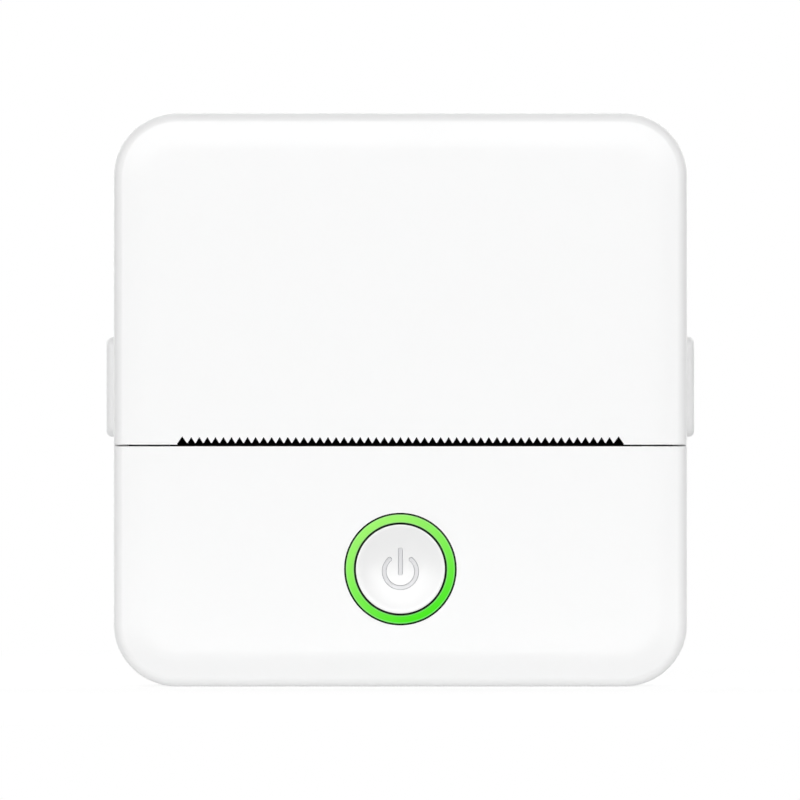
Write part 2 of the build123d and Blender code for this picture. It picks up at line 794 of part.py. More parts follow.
with BuildPart() as reduction_gear:
    with BuildSketch(across(inner_layer_x)):
        gear_face(reduction_large_teeth, reduction_phase, reduction_centre)
        disc(reduction_centre, gear_post_radius + running_fit, mode=Mode.SUBTRACT)
    extrude(amount=gear_width)
    hub_radius = gear_module * (reduction_small_teeth / 2 - dedendum_share)
    with BuildSketch(across(inner_layer_x + gear_width)):
        disc(reduction_centre, hub_radius)
        disc(reduction_centre, gear_post_radius + running_fit, mode=Mode.SUBTRACT)
    extrude(amount=gear_layer_gap)
    with BuildSketch(across(outer_layer_x)):
        gear_face(reduction_small_teeth, reduction_phase, reduction_centre)
        disc(reduction_centre, gear_post_radius + running_fit, mode=Mode.SUBTRACT)
    extrude(amount=gear_width)
save(reduction_gear, "reduction_gear")

clip_x = outer_layer_end_x + running_fit
with BuildPart() as gear_posts:
    with BuildSketch(across(plate_inner_x)):
        for centre in (idler_centre, reduction_centre):
            disc(centre, gear_post_radius)
    extrude(amount=clip_x + clip_thickness - plate_inner_x)
    with BuildSketch(across(plate_outer_x)):
        disc(idler_centre, idler_collar_radius)
    extrude(amount=outer_layer_x - plate_outer_x - running_fit)
save(gear_posts, "gear_posts")

with BuildPart() as gear_clips:
    with BuildSketch(across(clip_x)):
        for centre in (idler_centre, reduction_centre):
            disc(centre, clip_radius)
            disc(centre, gear_post_radius + seat_gap, mode=Mode.SUBTRACT)
    extrude(amount=clip_thickness)
save(gear_clips, "gear_clips")

# Stepper motor on the inside of the right plate
flange_x = plate_inner_x - motor_flange_thickness
with BuildPart() as motor:
    with BuildSketch(across(flange_x)):
        disc(pinion_centre, motor_radius)
    extrude(amount=-(motor_length - motor_flange_thickness))
    with BuildSketch(across(flange_x)):
        disc(pinion_centre, motor_radius - wall)
        for centre in motor_ears:
            disc(centre, motor_ear_radius)
        make_hull()
        for centre in motor_ears:
            disc(centre, screw_radius + seat_gap, mode=Mode.SUBTRACT)
    extrude(amount=motor_flange_thickness)
    with BuildSketch(across(plate_inner_x)):
        disc(pinion_centre, motor_collar_radius)
    extrude(amount=plate_thickness - moving_gap)
    with BuildSketch(across(plate_outer_x)):
        disc(pinion_centre, motor_shaft_radius + running_fit)
    extrude(amount=-(plate_thickness + motor_flange_thickness + motor_shaft_sunk), mode=Mode.SUBTRACT)
save(motor, "motor")

with BuildPart() as motor_pinion:
    with BuildSketch(across(inner_layer_x)):
        gear_face(pinion_teeth, pinion_phase, pinion_centre)
    extrude(amount=gear_width)
    with BuildSketch(across(inner_layer_x)):
        disc(pinion_centre, motor_shaft_radius)
    extrude(amount=-(inner_layer_x - flange_x + motor_shaft_sunk - moving_gap))
save(motor_pinion, "motor_pinion")

with BuildPart() as motor_screws:
    with BuildSketch(across(plate_outer_x)):
        for centre in motor_ears:
            disc(centre, screw_radius)
    extrude(amount=-motor_screw_length)
    with BuildSketch(across(plate_outer_x)):
        for centre in motor_ears:
            disc(centre, screw_head_radius)
    extrude(amount=small_head_height)
save(motor_screws, "motor_screws")

# Print head: heater bar on a heatsink that turns on a pin along its lower edge
ceramic_bottom_z = platen_z - ceramic_drop
with BuildPart() as head_heatsink:
    with BuildSketch(across(-head_half_width)):
        block((heatsink_front_y, head_pivot_z), (heatsink_back_y, head_top_z))
        disc((head_pivot_y, head_pivot_z), head_barrel_radius)
        disc((head_pivot_y, head_pivot_z), head_pivot_radius + running_fit, mode=Mode.SUBTRACT)
    extrude(amount=2 * head_half_width)
save(head_heatsink, "head_heatsink")

with BuildPart() as head_ceramic:
    with BuildSketch(across(-head_half_width)):
        block((head_face_y, ceramic_bottom_z), (heatsink_front_y, platen_z + ceramic_rise))
    extrude(amount=2 * head_half_width)
save(head_ceramic, "head_ceramic")

with BuildPart() as head_pivot_pin:
    with BuildSketch(across(-plate_outer_x)):
        disc((head_pivot_y, head_pivot_z), head_pivot_radius)
    extrude(amount=2 * plate_outer_x)
save(head_pivot_pin, "head_pivot_pin")


def coil_spring(start, direction, length, radius):
    """Compression spring that fills a length from its start."""
    axis = Vector(*direction)
    inner_length = length - 2 * spring_wire_radius - 2 * seat_gap
    path = Helix(
        inner_length / spring_turns,
        inner_length,
        radius,
        center=Vector(*start) + axis * (spring_wire_radius + seat_gap),
        direction=axis,
        mode=Mode.PRIVATE,
    )
    with BuildSketch(Plane(origin=path @ 0, z_dir=path % 0)) as section:
        Circle(spring_wire_radius)
    sweep(section.sketch, path=path, is_frenet=True)


with BuildPart() as head_springs:
    for side in (-1, 1):
        coil_spring((side * head_spring_x, heatsink_back_y, platen_z), (0, 1, 0),
                    head_spring_length, head_spring_radius)
save(head_springs, "head_springs")

# Main board and its parts
with BuildPart() as main_board:
    with BuildSketch(facing(board_back_y)):
        block((-board_half_width, board_shoulder_z), (board_half_width, board_top_z))
        block((-board_foot_half_width, board_bottom_z), (board_foot_half_width, board_top_z))
        with Locations(*board_screw_spots):
            Circle(screw_radius + screw_hole_gap, mode=Mode.SUBTRACT)
    extrude(amount=board_thickness)
save(main_board, "main_board")

with BuildPart() as board_screws:
    with BuildSketch(facing(board_back_y)):
        with Locations(*board_screw_spots):
            Circle(screw_radius)
    extrude(amount=small_screw_length)
    with BuildSketch(facing(board_back_y + small_head_height)):
        with Locations(*board_screw_spots):
            Circle(screw_head_radius)
    extrude(amount=small_head_height)
save(board_screws, "board_screws")

usb_mouth_x = body_width / 2 - usb_recess
with BuildPart() as usb_socket:
    with BuildSketch(across(usb_mouth_x - usb_length)):
        with Locations((usb_y, usb_z)):
            SlotOverall(usb_width, usb_height, rotation=90)
    extrude(amount=usb_length)
    with BuildSketch(across(usb_mouth_x)):
        with Locations((usb_y, usb_z)):
            SlotOverall(usb_width - 2 * usb_shell, usb_height - 2 * usb_shell, rotation=90)
            Rectangle(usb_tongue_thickness, usb_tongue_width, mode=Mode.SUBTRACT)
    extrude(amount=-usb_cavity_depth, mode=Mode.SUBTRACT)
save(usb_socket, "usb_socket")

with BuildPart() as power_switch:
    with BuildSketch(facing(board_front_y)):
        with Locations((0, button_z)):
            Rectangle(switch_size, switch_size)
    extrude(amount=switch_height)
    with BuildSketch(facing(board_front_y - switch_height)):
        disc((0, button_z), plunger_radius + running_fit)
    extrude(amount=-(plunger_sunk + button_travel + tab_slot_gap), mode=Mode.SUBTRACT)
save(power_switch, "power_switch")

plunger_tip_y = board_front_y - switch_height - plunger_proud
with BuildPart() as switch_plunger:
    with BuildSketch(facing(plunger_tip_y + plunger_proud + plunger_sunk)):
        disc((0, button_z), plunger_radius)
    extrude(amount=plunger_proud + plunger_sunk)
save(switch_plunger, "switch_plunger")

with BuildPart() as ring_lights:
    with BuildSketch(facing(board_front_y)):
        with Locations((0, button_z)):
            with PolarLocations(led_ring_radius, led_count, start_angle=180 / led_count):
                Rectangle(led_size, led_size)
    extrude(amount=led_height)
save(ring_lights, "ring_lights")

connector_z = board_top_z - connector_drop - connector_height / 2
with BuildPart() as ribbon_connector:
    with BuildSketch(facing(board_back_y + connector_depth)):
        block((-connector_width / 2, connector_z - connector_height / 2),
              (connector_width / 2, connector_z + connector_height / 2))
    extrude(amount=connector_depth)
save(ribbon_connector, "ribbon_connector")

with BuildPart() as head_ribbon:
    low_y = board_back_y + connector_depth / 2
    high_y = head_face_y + ribbon_thickness
    low_z = connector_z + connector_height / 2 + seat_gap
    high_z = ceramic_bottom_z - moving_gap
    with BuildSketch(across(-ribbon_width / 2)):
        with BuildLine() as ribbon_line:
            FilletPolyline((low_y, low_z), (low_y, low_z + (high_z - low_z) / 3),
                           (high_y, high_z - (high_z - low_z) / 3), (high_y, high_z), radius=0.5)
        trace(line_width=ribbon_thickness)
    extrude(amount=ribbon_width)
save(head_ribbon, "head_ribbon")

with BuildPart() as paper_sensor:
    with BuildSketch(Plane.XY.offset(bay_floor_z - seat_gap)):
        block((sensor_x - sensor_width / 2, sensor_front_y),
              (sensor_x + sensor_width / 2, sensor_front_y + sensor_depth))
    extrude(amount=-sensor_height)
save(paper_sensor, "paper_sensor")

# Battery pouch, standing on the floor of the casing
with BuildPart() as battery:
    with BuildSketch(facing(battery_back_y)):
        with Locations((0, wall + battery_height / 2)):
            RectangleRounded(battery_width, battery_height, battery_corner_radius)
    extrude(amount=battery_thickness)
save(battery, "battery")

# Light ring and power button
ring_front_y = front_y + face_set_back
ring_back_y = inner_front_y + ring_flange_thickness
with BuildPart() as light_ring:
    with BuildSketch(facing(ring_back_y)):
        disc((0, button_z), ring_flange_radius)
        disc((0, button_z), ring_inner_radius, mode=Mode.SUBTRACT)
    extrude(amount=ring_flange_thickness)
    with BuildSketch(facing(inner_front_y)):
        disc((0, button_z), ring_outer_radius)
        disc((0, button_z), ring_inner_radius, mode=Mode.SUBTRACT)
    extrude(amount=inner_front_y - ring_front_y)
    chamfer(light_ring.faces().sort_by(Axis.Y)[0].edges(), ring_bevel)
save(light_ring, "light_ring")

with BuildPart() as power_button:
    flange_front_y = ring_back_y + moving_gap
    flange_back_y = flange_front_y + button_flange
    cap_back_y = ring_front_y + button_cap
    dish_ball = (button_dish_radius ** 2 + button_dish_depth ** 2) / (2 * button_dish_depth)
    dish_half_angle = asin(button_dish_radius / dish_ball) / 2
    with BuildSketch(across(0)):
        with BuildLine():
            dish_edge = (ring_front_y, button_z + button_dish_radius)
            dish_half = (ring_front_y + button_dish_depth - dish_ball * (1 - cos(dish_half_angle)),
                         button_z + dish_ball * sin(dish_half_angle))
            dish_middle = (ring_front_y + button_dish_depth, button_z)
            ThreePointArc(dish_edge, dish_half, dish_middle)
            Polyline(
                dish_middle,
                (plunger_tip_y, button_z),
                (plunger_tip_y, button_z + button_post_radius),
                (cap_back_y, button_z + button_post_radius),
                (cap_back_y, button_z + button_radius - button_wall),
                (flange_back_y, button_z + button_radius - button_wall),
                (flange_back_y, button_z + ring_inner_radius + button_flange),
                (flange_front_y, button_z + ring_inner_radius + button_flange),
                (flange_front_y, button_z + button_radius),
                (ring_front_y + button_rim_radius, button_z + button_radius),
                (ring_front_y, button_z + button_radius - button_rim_radius),
                dish_edge,
            )
        make_face()
    revolve(axis=Axis((0, 0, button_z), (0, 1, 0)))
save(power_button, "power_button")

# Release buttons, each with a flange, a latch arm and a boss for its spring
with BuildPart() as release_button_right:
    with BuildSketch(across(tab_flange_inner_x)):
        with Locations((tab_y, tab_z)):
            RectangleRounded(tab_depth, tab_height, tab_corner_radius)
    extrude(amount=body_width / 2 + tab_proud - tab_flange_inner_x)
    fillet(release_button_right.faces().sort_by(Axis.X)[-1].edges(), tab_edge_radius)
    with BuildSketch(across(tab_flange_inner_x)):
        with Locations((tab_y, tab_z)):
            RectangleRounded(tab_depth + 2 * tab_flange_lip, tab_height + 2 * tab_flange_lip,
                             tab_corner_radius)
    extrude(amount=tab_flange_thickness)
    arm_back_y = tab_y - tab_depth / 2
    with BuildSketch(Plane.XY.offset(tab_z - latch_arm_height / 2)):
        polygon([
            (tab_flange_inner_x, arm_back_y),
            (tab_flange_x - latch_hook, arm_back_y),
            (tab_flange_x - latch_hook, arm_back_y - latch_arm_reach + latch_hook * 4),
            (tab_flange_x - catch_height, arm_back_y - latch_arm_reach + latch_hook * 2),
            (tab_flange_x - latch_hook * 2, arm_back_y - latch_arm_reach),
            (tab_flange_inner_x, arm_back_y - latch_arm_reach),
        ])
    extrude(amount=latch_arm_height)
    with BuildSketch(across(tab_flange_inner_x)):
        disc((release_spring_y, release_spring_z), release_spring_radius - 2 * spring_wire_radius)
    extrude(amount=-tab_flange_thickness)
save(release_button_right, "release_button_right")

with BuildPart() as release_button_left:
    mirror(release_button_right.part, about=Plane.YZ)
save(release_button_left, "release_button_left")

with BuildPart() as release_spring_right:
    coil_spring((plate_outer_x, release_spring_y, release_spring_z), (1, 0, 0),
                tab_flange_inner_x - plate_outer_x, release_spring_radius)
save(release_spring_right, "release_spring_right")

with BuildPart() as release_spring_left:
    mirror(release_spring_right.part, about=Plane.YZ)
save(release_spring_left, "release_spring_left")

# Screws that close the casing from the back
with BuildPart() as shell_screws:
    with BuildSketch(facing(shell_screw_seat_y)):
        with Locations(*shell_screw_spots):
            Circle(screw_radius)
    extrude(amount=shell_screw_length)
    with BuildSketch(facing(shell_screw_seat_y + screw_head_height)):
        with Locations(*shell_screw_spots):
            Circle(screw_head_radius)
    extrude(amount=screw_head_height)
save(shell_screws, "shell_screws")

# Paper roll on its plastic core
with BuildPart() as paper_roll:
    with BuildSketch(across(-paper_half)):
        disc((roll_y, roll_z), roll_radius)
        disc((roll_y, roll_z), core_radius + seat_gap, mode=Mode.SUBTRACT)
    extrude(amount=paper_width)
save(paper_roll, "paper_roll")

with BuildPart() as roll_core:
    with BuildSketch(across(-paper_half)):
        disc((roll_y, roll_z), core_radius)
        disc((roll_y, roll_z), core_bore_radius, mode=Mode.SUBTRACT)
    extrude(amount=paper_width)
save(roll_core, "roll_core")
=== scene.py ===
"""Dresses the portable photo printer: finishes, detailed pieces and studio.

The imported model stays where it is. Some of its nodes keep their shape and get a finish here,
and others are replaced by pieces with more detail in the same place. Lengths are in metres;
those written in millimetres are multiplied by MM.
"""

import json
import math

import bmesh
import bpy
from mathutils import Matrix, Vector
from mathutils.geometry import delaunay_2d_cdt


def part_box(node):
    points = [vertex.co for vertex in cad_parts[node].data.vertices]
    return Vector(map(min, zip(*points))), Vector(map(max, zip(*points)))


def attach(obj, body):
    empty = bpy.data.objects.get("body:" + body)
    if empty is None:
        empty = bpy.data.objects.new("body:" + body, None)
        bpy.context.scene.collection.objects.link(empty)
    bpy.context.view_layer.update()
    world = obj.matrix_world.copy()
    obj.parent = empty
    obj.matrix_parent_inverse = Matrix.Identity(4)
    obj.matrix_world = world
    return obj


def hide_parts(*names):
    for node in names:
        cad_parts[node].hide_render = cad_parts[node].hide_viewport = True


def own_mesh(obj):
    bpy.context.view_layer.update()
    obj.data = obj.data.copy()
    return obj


bl_info = {
    "name": "Portable Photo Printer",
    "version": (1, 0, 0),
    "blender": (4, 5, 0),
    "location": "3D View > Sidebar > Printer",
    "description": "Finishes and detailed pieces of a pocket photo printer, with its studio",
    "category": "Object",
}

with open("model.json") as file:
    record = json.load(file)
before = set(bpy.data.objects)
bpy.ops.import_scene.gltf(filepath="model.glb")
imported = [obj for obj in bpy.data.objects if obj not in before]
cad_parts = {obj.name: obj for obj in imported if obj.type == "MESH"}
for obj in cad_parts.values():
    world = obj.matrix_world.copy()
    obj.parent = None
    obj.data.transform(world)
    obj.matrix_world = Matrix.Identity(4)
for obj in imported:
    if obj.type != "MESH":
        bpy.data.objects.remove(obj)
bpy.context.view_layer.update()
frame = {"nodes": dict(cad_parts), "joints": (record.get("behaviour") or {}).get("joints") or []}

MM = 0.001
RIGHT = Vector((1, 0, 0))
FRONT = Vector((0, -1, 0))
BACK = Vector((0, 1, 0))
UP = Vector((0, 0, 1))

# Where the photograph shows the casing, in its 800 by 800 pixels
PHOTO_SIZE = 800
PHOTO_MIDDLE_X = 399.8
PHOTO_MIDDLE_Y = 399.5
OUTLINE_LEFT = 113.4
OUTLINE_RIGHT = 687.0
OUTLINE_TOP = 111.9
OUTLINE_BOTTOM = 686.6

# Places read from the frame
casing_low, casing_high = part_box("rear_shell")
cap_low, cap_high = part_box("power_button")
cap_middle = (cap_low + cap_high) / 2
ring_back_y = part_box("light_ring")[1].y
plunger_tip_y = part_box("switch_plunger")[0].y
heater_low, heater_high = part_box("head_ceramic")
platen_z = (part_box("platen_roller")[0].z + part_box("platen_roller")[1].z) / 2
roll_low, roll_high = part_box("paper_roll")
core_high_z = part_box("roll_core")[1].z
socket_low, socket_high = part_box("usb_socket")
board_front_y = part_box("main_board")[0].y
battery_low, battery_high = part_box("battery")
sensor_low, sensor_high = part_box("paper_sensor")
switch_low, switch_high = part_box("power_switch")


# Sizes and colours that a user would change

def size(name, description, millimetres):
    """A length setting."""
    return bpy.props.FloatProperty(name=name, description=description, unit="LENGTH", precision=5,
                                   default=millimetres * MM)


def colour(name, description, rgb):
    """A colour setting."""
    return bpy.props.FloatVectorProperty(name=name, description=description, subtype="COLOR", size=3,
                                         min=0, max=1, default=rgb)


def angle(name, description, degrees):
    """An angle setting."""
    return bpy.props.FloatProperty(name=name, description=description, subtype="ANGLE",
                                   default=math.radians(degrees))


def share(name, description, value):
    """A setting from 0 to 1."""
    return bpy.props.FloatProperty(name=name, description=description, subtype="FACTOR", min=0, max=1,
                                   default=value)


def count(name, description, value):
    """A whole number setting."""
    return bpy.props.IntProperty(name=name, description=description, min=1, default=value)


def brightness(name, description, value):
    """A light setting: at 1 the light makes a white that faces it fully white."""
    return bpy.props.FloatProperty(name=name, description=description, default=value)


class ShellSettings(bpy.types.PropertyGroup):
    colour: colour("Shell White", "Colour of the moulded casing", (0.94, 0.942, 0.942))
    # Painted light: the release buttons are a lighter copy of the shell white, lifting them where the
    # casing shades them
    tab_lightened_colour: colour("Button White", "Colour of the release buttons", (0.97, 0.972, 0.972))
    roughness: share("Roughness", "Sheen of the moulded casing", 0.3)
    grain_depth: size("Grain Depth", "Depth of the moulded grain", 0.004)


class RingSettings(bpy.types.PropertyGroup):
    # Painted light and shade: the ring's green is lighter towards the painted light angle and deeper away
    # from it
    lit_top_green: colour("Light Green", "Colour at the top of the light ring", (0.38, 1.0, 0.17))
    shaded_foot_green: colour("Deep Green", "Colour at the foot of the light ring", (0.06, 0.86, 0.005))
    # Painted highlights: pale lines of white mixed in just inside both edges of the ring
    highlight_paleness: share("Rim Paleness", "Share of white in the lines just inside both edges", 0.15)
    # Painted shade: dark lines at both edges of the ring, standing in for the shade in the gaps round it
    edge_shade_colour: colour("Edge Colour", "Dark lines at both edges", (0.005, 0.045, 0.003))
    painted_light_angle: angle("Brightest Angle", "Direction of the lightest part, from the right", 118)
    inner_radius: size("Inner Radius", "Inner edge of the coloured band", 6.42)
    outer_radius: size("Outer Radius", "Outer edge of the coloured band", 7.68)
    shade_line: size("Edge Line", "Width of the dark lines", 0.09)
    highlight_line: size("Rim Line", "Width of the pale lines", 0.13)


class CapSettings(bpy.types.PropertyGroup):
    colour: colour("Cap White", "Silver white of the power cap", (0.9, 0.9, 0.9))
    roughness: share("Roughness", "Sheen of the power cap", 0.24)
    # Painted shade: the engraved symbol's floor is greyer and its walls darker than the cap, for the shade
    # in the groove
    symbol_floor_shade_colour: colour("Symbol Grey", "Floor of the engraved symbol", (0.86, 0.86, 0.87))
    symbol_wall: colour("Symbol Wall", "Walls of the engraved symbol", (0.56, 0.56, 0.58))
    # Painted shade: the skirt, flange and post are dark so that the gap round the cap reads as shade
    skirt_shade_colour: colour("Skirt Dark", "Side of the cap below its face", (0.006, 0.02, 0.005))
    radius: size("Radius", "Visible radius of the cap", 6.21)
    land: size("Land", "Rim between the dish and the edge", 0.3)
    rim_radius: size("Rim Radius", "Rounding of the outer edge", 0.07)
    dish_depth: size("Dish Depth", "Depth of the finger dish", 0.66)
    face_depth: size("Face Depth", "Thickness of the cap at its rim", 1.5)
    wall: size("Wall", "Thickness of the skirt", 1.0)
    flange_gap: size("Flange Gap", "Play between the flange and the ring", 0.3)
    post_radius: size("Post Radius", "Radius of the post on the switch", 1.6)
    arc_radius: size("Arc Radius", "Middle radius of the symbol's arc", 2.26)
    arc_opening: angle("Arc Opening", "Half of the gap at the top of the arc", 41.6)
    arc_drop: size("Arc Drop", "How far the arc sits below the middle of the cap", 0.33)
    bar_top: size("Bar Top", "Upper end of the bar, from the middle of the cap", 3.02)
    bar_bottom: size("Bar Bottom", "Lower end of the bar, from the middle of the cap", -0.9)
    stroke: size("Stroke", "Width of the engraved line", 0.63)
    groove_depth: size("Groove Depth", "Depth of the engraved line", 0.42)


class ScrewSettings(bpy.types.PropertyGroup):
    shank_radius: size("Shank Radius", "Outer radius of the thread", 0.95)
    thread_pitch: size("Thread Pitch", "Rise of the thread in one turn", 0.6)
    thread_depth: size("Thread Depth", "Depth of the thread", 0.2)
    large_head: size("Large Head", "Height of the heads at the back of the casing", 1.4)
    small_head: size("Small Head", "Height of the heads inside", 1.0)
    recess_reach: share("Recess Reach", "Reach of the cross recess in the head's radius", 0.58)
    recess_width: share("Recess Width", "Half width of its arms in the head's radius", 0.13)
    recess_depth: share("Recess Depth", "Depth of the recess in the head's height", 0.6)


class PaperSettings(bpy.types.PropertyGroup):
    colour: colour("Paper White", "Colour of the thermal paper", (0.9, 0.9, 0.885))
    turns: count("Turns", "Turns of the wound paper that show", 34)
    unevenness: size("Unevenness", "How far turns stand out of line at the ends", 0.07)
    tail_angle: angle("Tail Angle", "Where the loose end lies, from the back", 130)


class HeadSettings(bpy.types.PropertyGroup):
    glaze_width: size("Glaze Width", "Width of the heater line", 0.9)
    glaze_height: size("Glaze Height", "How far the heater line stands up", 0.05)
    coating_width: size("Coating Width", "Width of the black coating over the drivers", 1.9)
    coating_height: size("Coating Height", "How far the coating stands up", 0.4)
    trace_pitch: size("Trace Pitch", "Distance between the gold lines", 0.75)
    trace_width: size("Trace Width", "Width of a gold line", 0.3)
    end_margin: size("End Margin", "Bare ends of the heater bar", 1.2)


class SocketSettings(bpy.types.PropertyGroup):
    wall: size("Wall", "Thickness of the steel shell", 0.3)
    depth: size("Depth", "Depth of the opening", 6.2)
    tongue_width: size("Tongue Width", "Width of the tongue", 6.69)
    tongue_thickness: size("Tongue Thickness", "Thickness of the tongue", 0.7)
    contact_count: count("Contacts", "Contacts on each side of the tongue", 12)
    contact_pitch: size("Contact Pitch", "Distance between contacts", 0.5)
    contact_width: size("Contact Width", "Width of a contact", 0.25)


class SpringSettings(bpy.types.PropertyGroup):
    wire_radius: size("Wire Radius", "Radius of the spring wire", 0.2)
    end_gap: size("End Gap", "Play between a spring and its seats", 0.03)
    turns: count("Turns", "Open turns of each spring", 4)


class BoardSettings(bpy.types.PropertyGroup):
    mask_colour: colour("Solder Mask", "Colour of the circuit board", (0.012, 0.16, 0.06))
    trace_colour: colour("Trace Green", "Colour of the copper lines under the mask", (0.03, 0.27, 0.11))
    trace_width: size("Trace Width", "Width of the copper lines", 0.25)
    trace_height: size("Trace Height", "How far the copper lines stand up", 0.03)
    via_radius: size("Via Radius", "Radius of the plated holes", 0.32)
    lamp_size: size("Lamp Size", "Side of the lamps round the power button", 2.0)


class StageSettings(bpy.types.PropertyGroup):
    distance: size("Camera Distance", "From the camera to the front of the casing", 4000)
    sky_level: brightness("Sky Level", "Even light from all round", 0.18)
    front_level: brightness("Front Level", "Light of the lamp beside the camera", 0.70)
    side_level: brightness("Side Level", "Light of each lamp at the sides", 0.18)
    rear_level: brightness("Rear Level", "Light of each lamp behind", 0.28)
    floor_white: share("Floor White", "Share of the light that the floor gives back", 0.5)
    floor_glow: share("Floor Glow", "Light that the floor sends up close to the printer", 0.25)


GROUPS = {
    "printer_shell": ShellSettings,
    "printer_ring": RingSettings,
    "printer_cap": CapSettings,
    "printer_screws": ScrewSettings,
    "printer_paper": PaperSettings,
    "printer_head": HeadSettings,
    "printer_socket": SocketSettings,
    "printer_springs": SpringSettings,
    "printer_board": BoardSettings,
    "printer_stage": StageSettings,
}


# Node groups shared by the finishes

def add_node(tree, kind, inputs, **settings):
    """New node with its settings, whose inputs take values or the outputs of other nodes."""
    node = tree.nodes.new(kind)
    for name, value in settings.items():
        setattr(node, name, value)
    for socket, value in inputs.items():
        if isinstance(value, bpy.types.NodeSocket):
            tree.links.new(value, node.inputs[socket])
        else:
            node.inputs[socket].default_value = value
    return node


def place_in(tree):
    """Output with the place on the object itself."""
    return tree.nodes.new("ShaderNodeTexCoord").outputs["Object"]


def start_group(name, inputs):
    """Shader node group with its inputs, a colour, a roughness and a height going out."""
    group = bpy.data.node_groups.new(name, "ShaderNodeTree")
    for socket, kind, value in inputs:
        made = group.interface.new_socket(socket, in_out="INPUT", socket_type=kind)
        made.default_value = value
    for socket, kind in (("Colour", "NodeSocketColor"), ("Roughness", "NodeSocketFloat"),
                         ("Height", "NodeSocketFloat")):
        group.interface.new_socket(socket, in_out="OUTPUT", socket_type=kind)
    return group, group.nodes.new("NodeGroupInput"), group.nodes.new("NodeGroupOutput")


def mottled(group, start, end, pattern):
    """Vary the group's colour and roughness by a pattern round its middle."""
    centred = add_node(group, "ShaderNodeMath", {0: pattern, 1: 0.5}, operation="SUBTRACT").outputs[0]
    tone = add_node(group, "ShaderNodeMath", {0: centred, 1: start.outputs["Mottle"], 2: 1},
                    operation="MULTIPLY_ADD")
    tinted = add_node(group, "ShaderNodeVectorMath",
                      {0: start.outputs["Colour"], "Scale": tone.outputs[0]}, operation="SCALE")
    rough = add_node(group, "ShaderNodeMath",
                     {0: centred, 1: start.outputs["Roughness Spread"], 2: start.outputs["Roughness"]},
                     operation="MULTIPLY_ADD")
    group.links.new(tinted.outputs[0], end.inputs["Colour"])
    group.links.new(rough.outputs[0], end.inputs["Roughness"])


def moulded_grain():
    """Fine grain of moulded plastic, rubber, resin or paper."""
    found = bpy.data.node_groups.get("Moulded Grain")
    if found:
        return found
    group, start, end = start_group(
        "Moulded Grain",
        [("Scale", "NodeSocketFloat", 6000.0), ("Cloud Scale", "NodeSocketFloat", 90.0),
         ("Colour", "NodeSocketColor", (0.8, 0.8, 0.8, 1)), ("Mottle", "NodeSocketFloat", 0.02),
         ("Roughness", "NodeSocketFloat", 0.4), ("Roughness Spread", "NodeSocketFloat", 0.05)])
    place = place_in(group)
    grain = add_node(group, "ShaderNodeTexNoise",
                     {"Vector": place, "Scale": start.outputs["Scale"], "Detail": 3})
    cloud = add_node(group, "ShaderNodeTexNoise",
                     {"Vector": place, "Scale": start.outputs["Cloud Scale"], "Detail": 2})
    group.links.new(grain.outputs["Fac"], end.inputs["Height"])
    mottled(group, start, end, cloud.outputs["Fac"])
    return group


def drawn_lines():
    """Fine lines left on metal by drawing, rolling or turning."""
    found = bpy.data.node_groups.get("Drawn Lines")
    if found:
        return found
    group, start, end = start_group(
        "Drawn Lines",
        [("Stretch", "NodeSocketVector", (300.0, 12000.0, 12000.0)),
         ("Colour", "NodeSocketColor", (0.6, 0.6, 0.6, 1)), ("Mottle", "NodeSocketFloat", 0.15),
         ("Roughness", "NodeSocketFloat", 0.3), ("Roughness Spread", "NodeSocketFloat", 0.15)])
    stretched = add_node(group, "ShaderNodeVectorMath", {0: place_in(group), 1: start.outputs["Stretch"]},
                         operation="MULTIPLY")
    lines = add_node(group, "ShaderNodeTexNoise", {"Vector": stretched.outputs[0], "Scale": 1, "Detail": 3})
    group.links.new(lines.outputs["Fac"], end.inputs["Height"])
    mottled(group, start, end, lines.outputs["Fac"])
    return group


# Finishes

# Stretch of the lines on metal, in noise periods a metre: few along an axis draw them out along it
DRAWN_FINE = (300, 12000, 12000)
DRAWN_ALONG_X = (300, 9000, 9000)
DRAWN_ALONG_Z = (9000, 9000, 300)
EVEN_GRAIN = (9000, 9000, 9000)
COARSE_GRAIN = (1500, 1500, 1500)


def blank(name):
    """New material with only a Principled BSDF and its output."""
    material = bpy.data.materials.new(name)
    material.use_nodes = True
    return material, material.node_tree.nodes["Principled BSDF"]


def surface(material, shader, group, values, bump, depth):
    """Feed a group's colour, roughness and height to the shader."""
    tree = material.node_tree
    node = add_node(tree, "ShaderNodeGroup", values, node_tree=group)
    raised = add_node(tree, "ShaderNodeBump",
                      {"Strength": bump, "Distance": depth, "Height": node.outputs["Height"]})
    tree.links.new(node.outputs["Colour"], shader.inputs["Base Color"])
    tree.links.new(node.outputs["Roughness"], shader.inputs["Roughness"])
    tree.links.new(raised.outputs["Normal"], shader.inputs["Normal"])


def moulded(name, rgb, roughness=0.4, scale=6000, mottle=0.02, bump=0.4, depth=0.004 * MM):
    """Moulded plastic, rubber, resin or paper."""
    material, shader = blank(name)
    surface(material, shader, moulded_grain(),
            {"Scale": scale, "Colour": (*rgb, 1), "Mottle": mottle, "Roughness": roughness}, bump, depth)
    return material


def metal(name, rgb, roughness=0.3, stretch=DRAWN_FINE, mottle=0.15, bump=0.25, depth=0.002 * MM):
    """Drawn, rolled or turned metal."""
    material, shader = blank(name)
    surface(material, shader, drawn_lines(),
            {"Stretch": stretch, "Colour": (*rgb, 1), "Mottle": mottle, "Roughness": roughness},
            bump, depth)
    shader.inputs["Metallic"].default_value = 1
    return material


def finish_nodes(material, *names):
    """Give CAD nodes a finish."""
    for name in names:
        mesh = frame["nodes"][name].data
        mesh.materials.clear()
        mesh.materials.append(material)


# Mesh tools

# Points nearer to each other than these are one point
CAD_WELD = 0.0001 * MM
PIECE_WELD = 0.0005 * MM
# Edges that bend by more stay sharp
SHARP_BEND = math.radians(32)


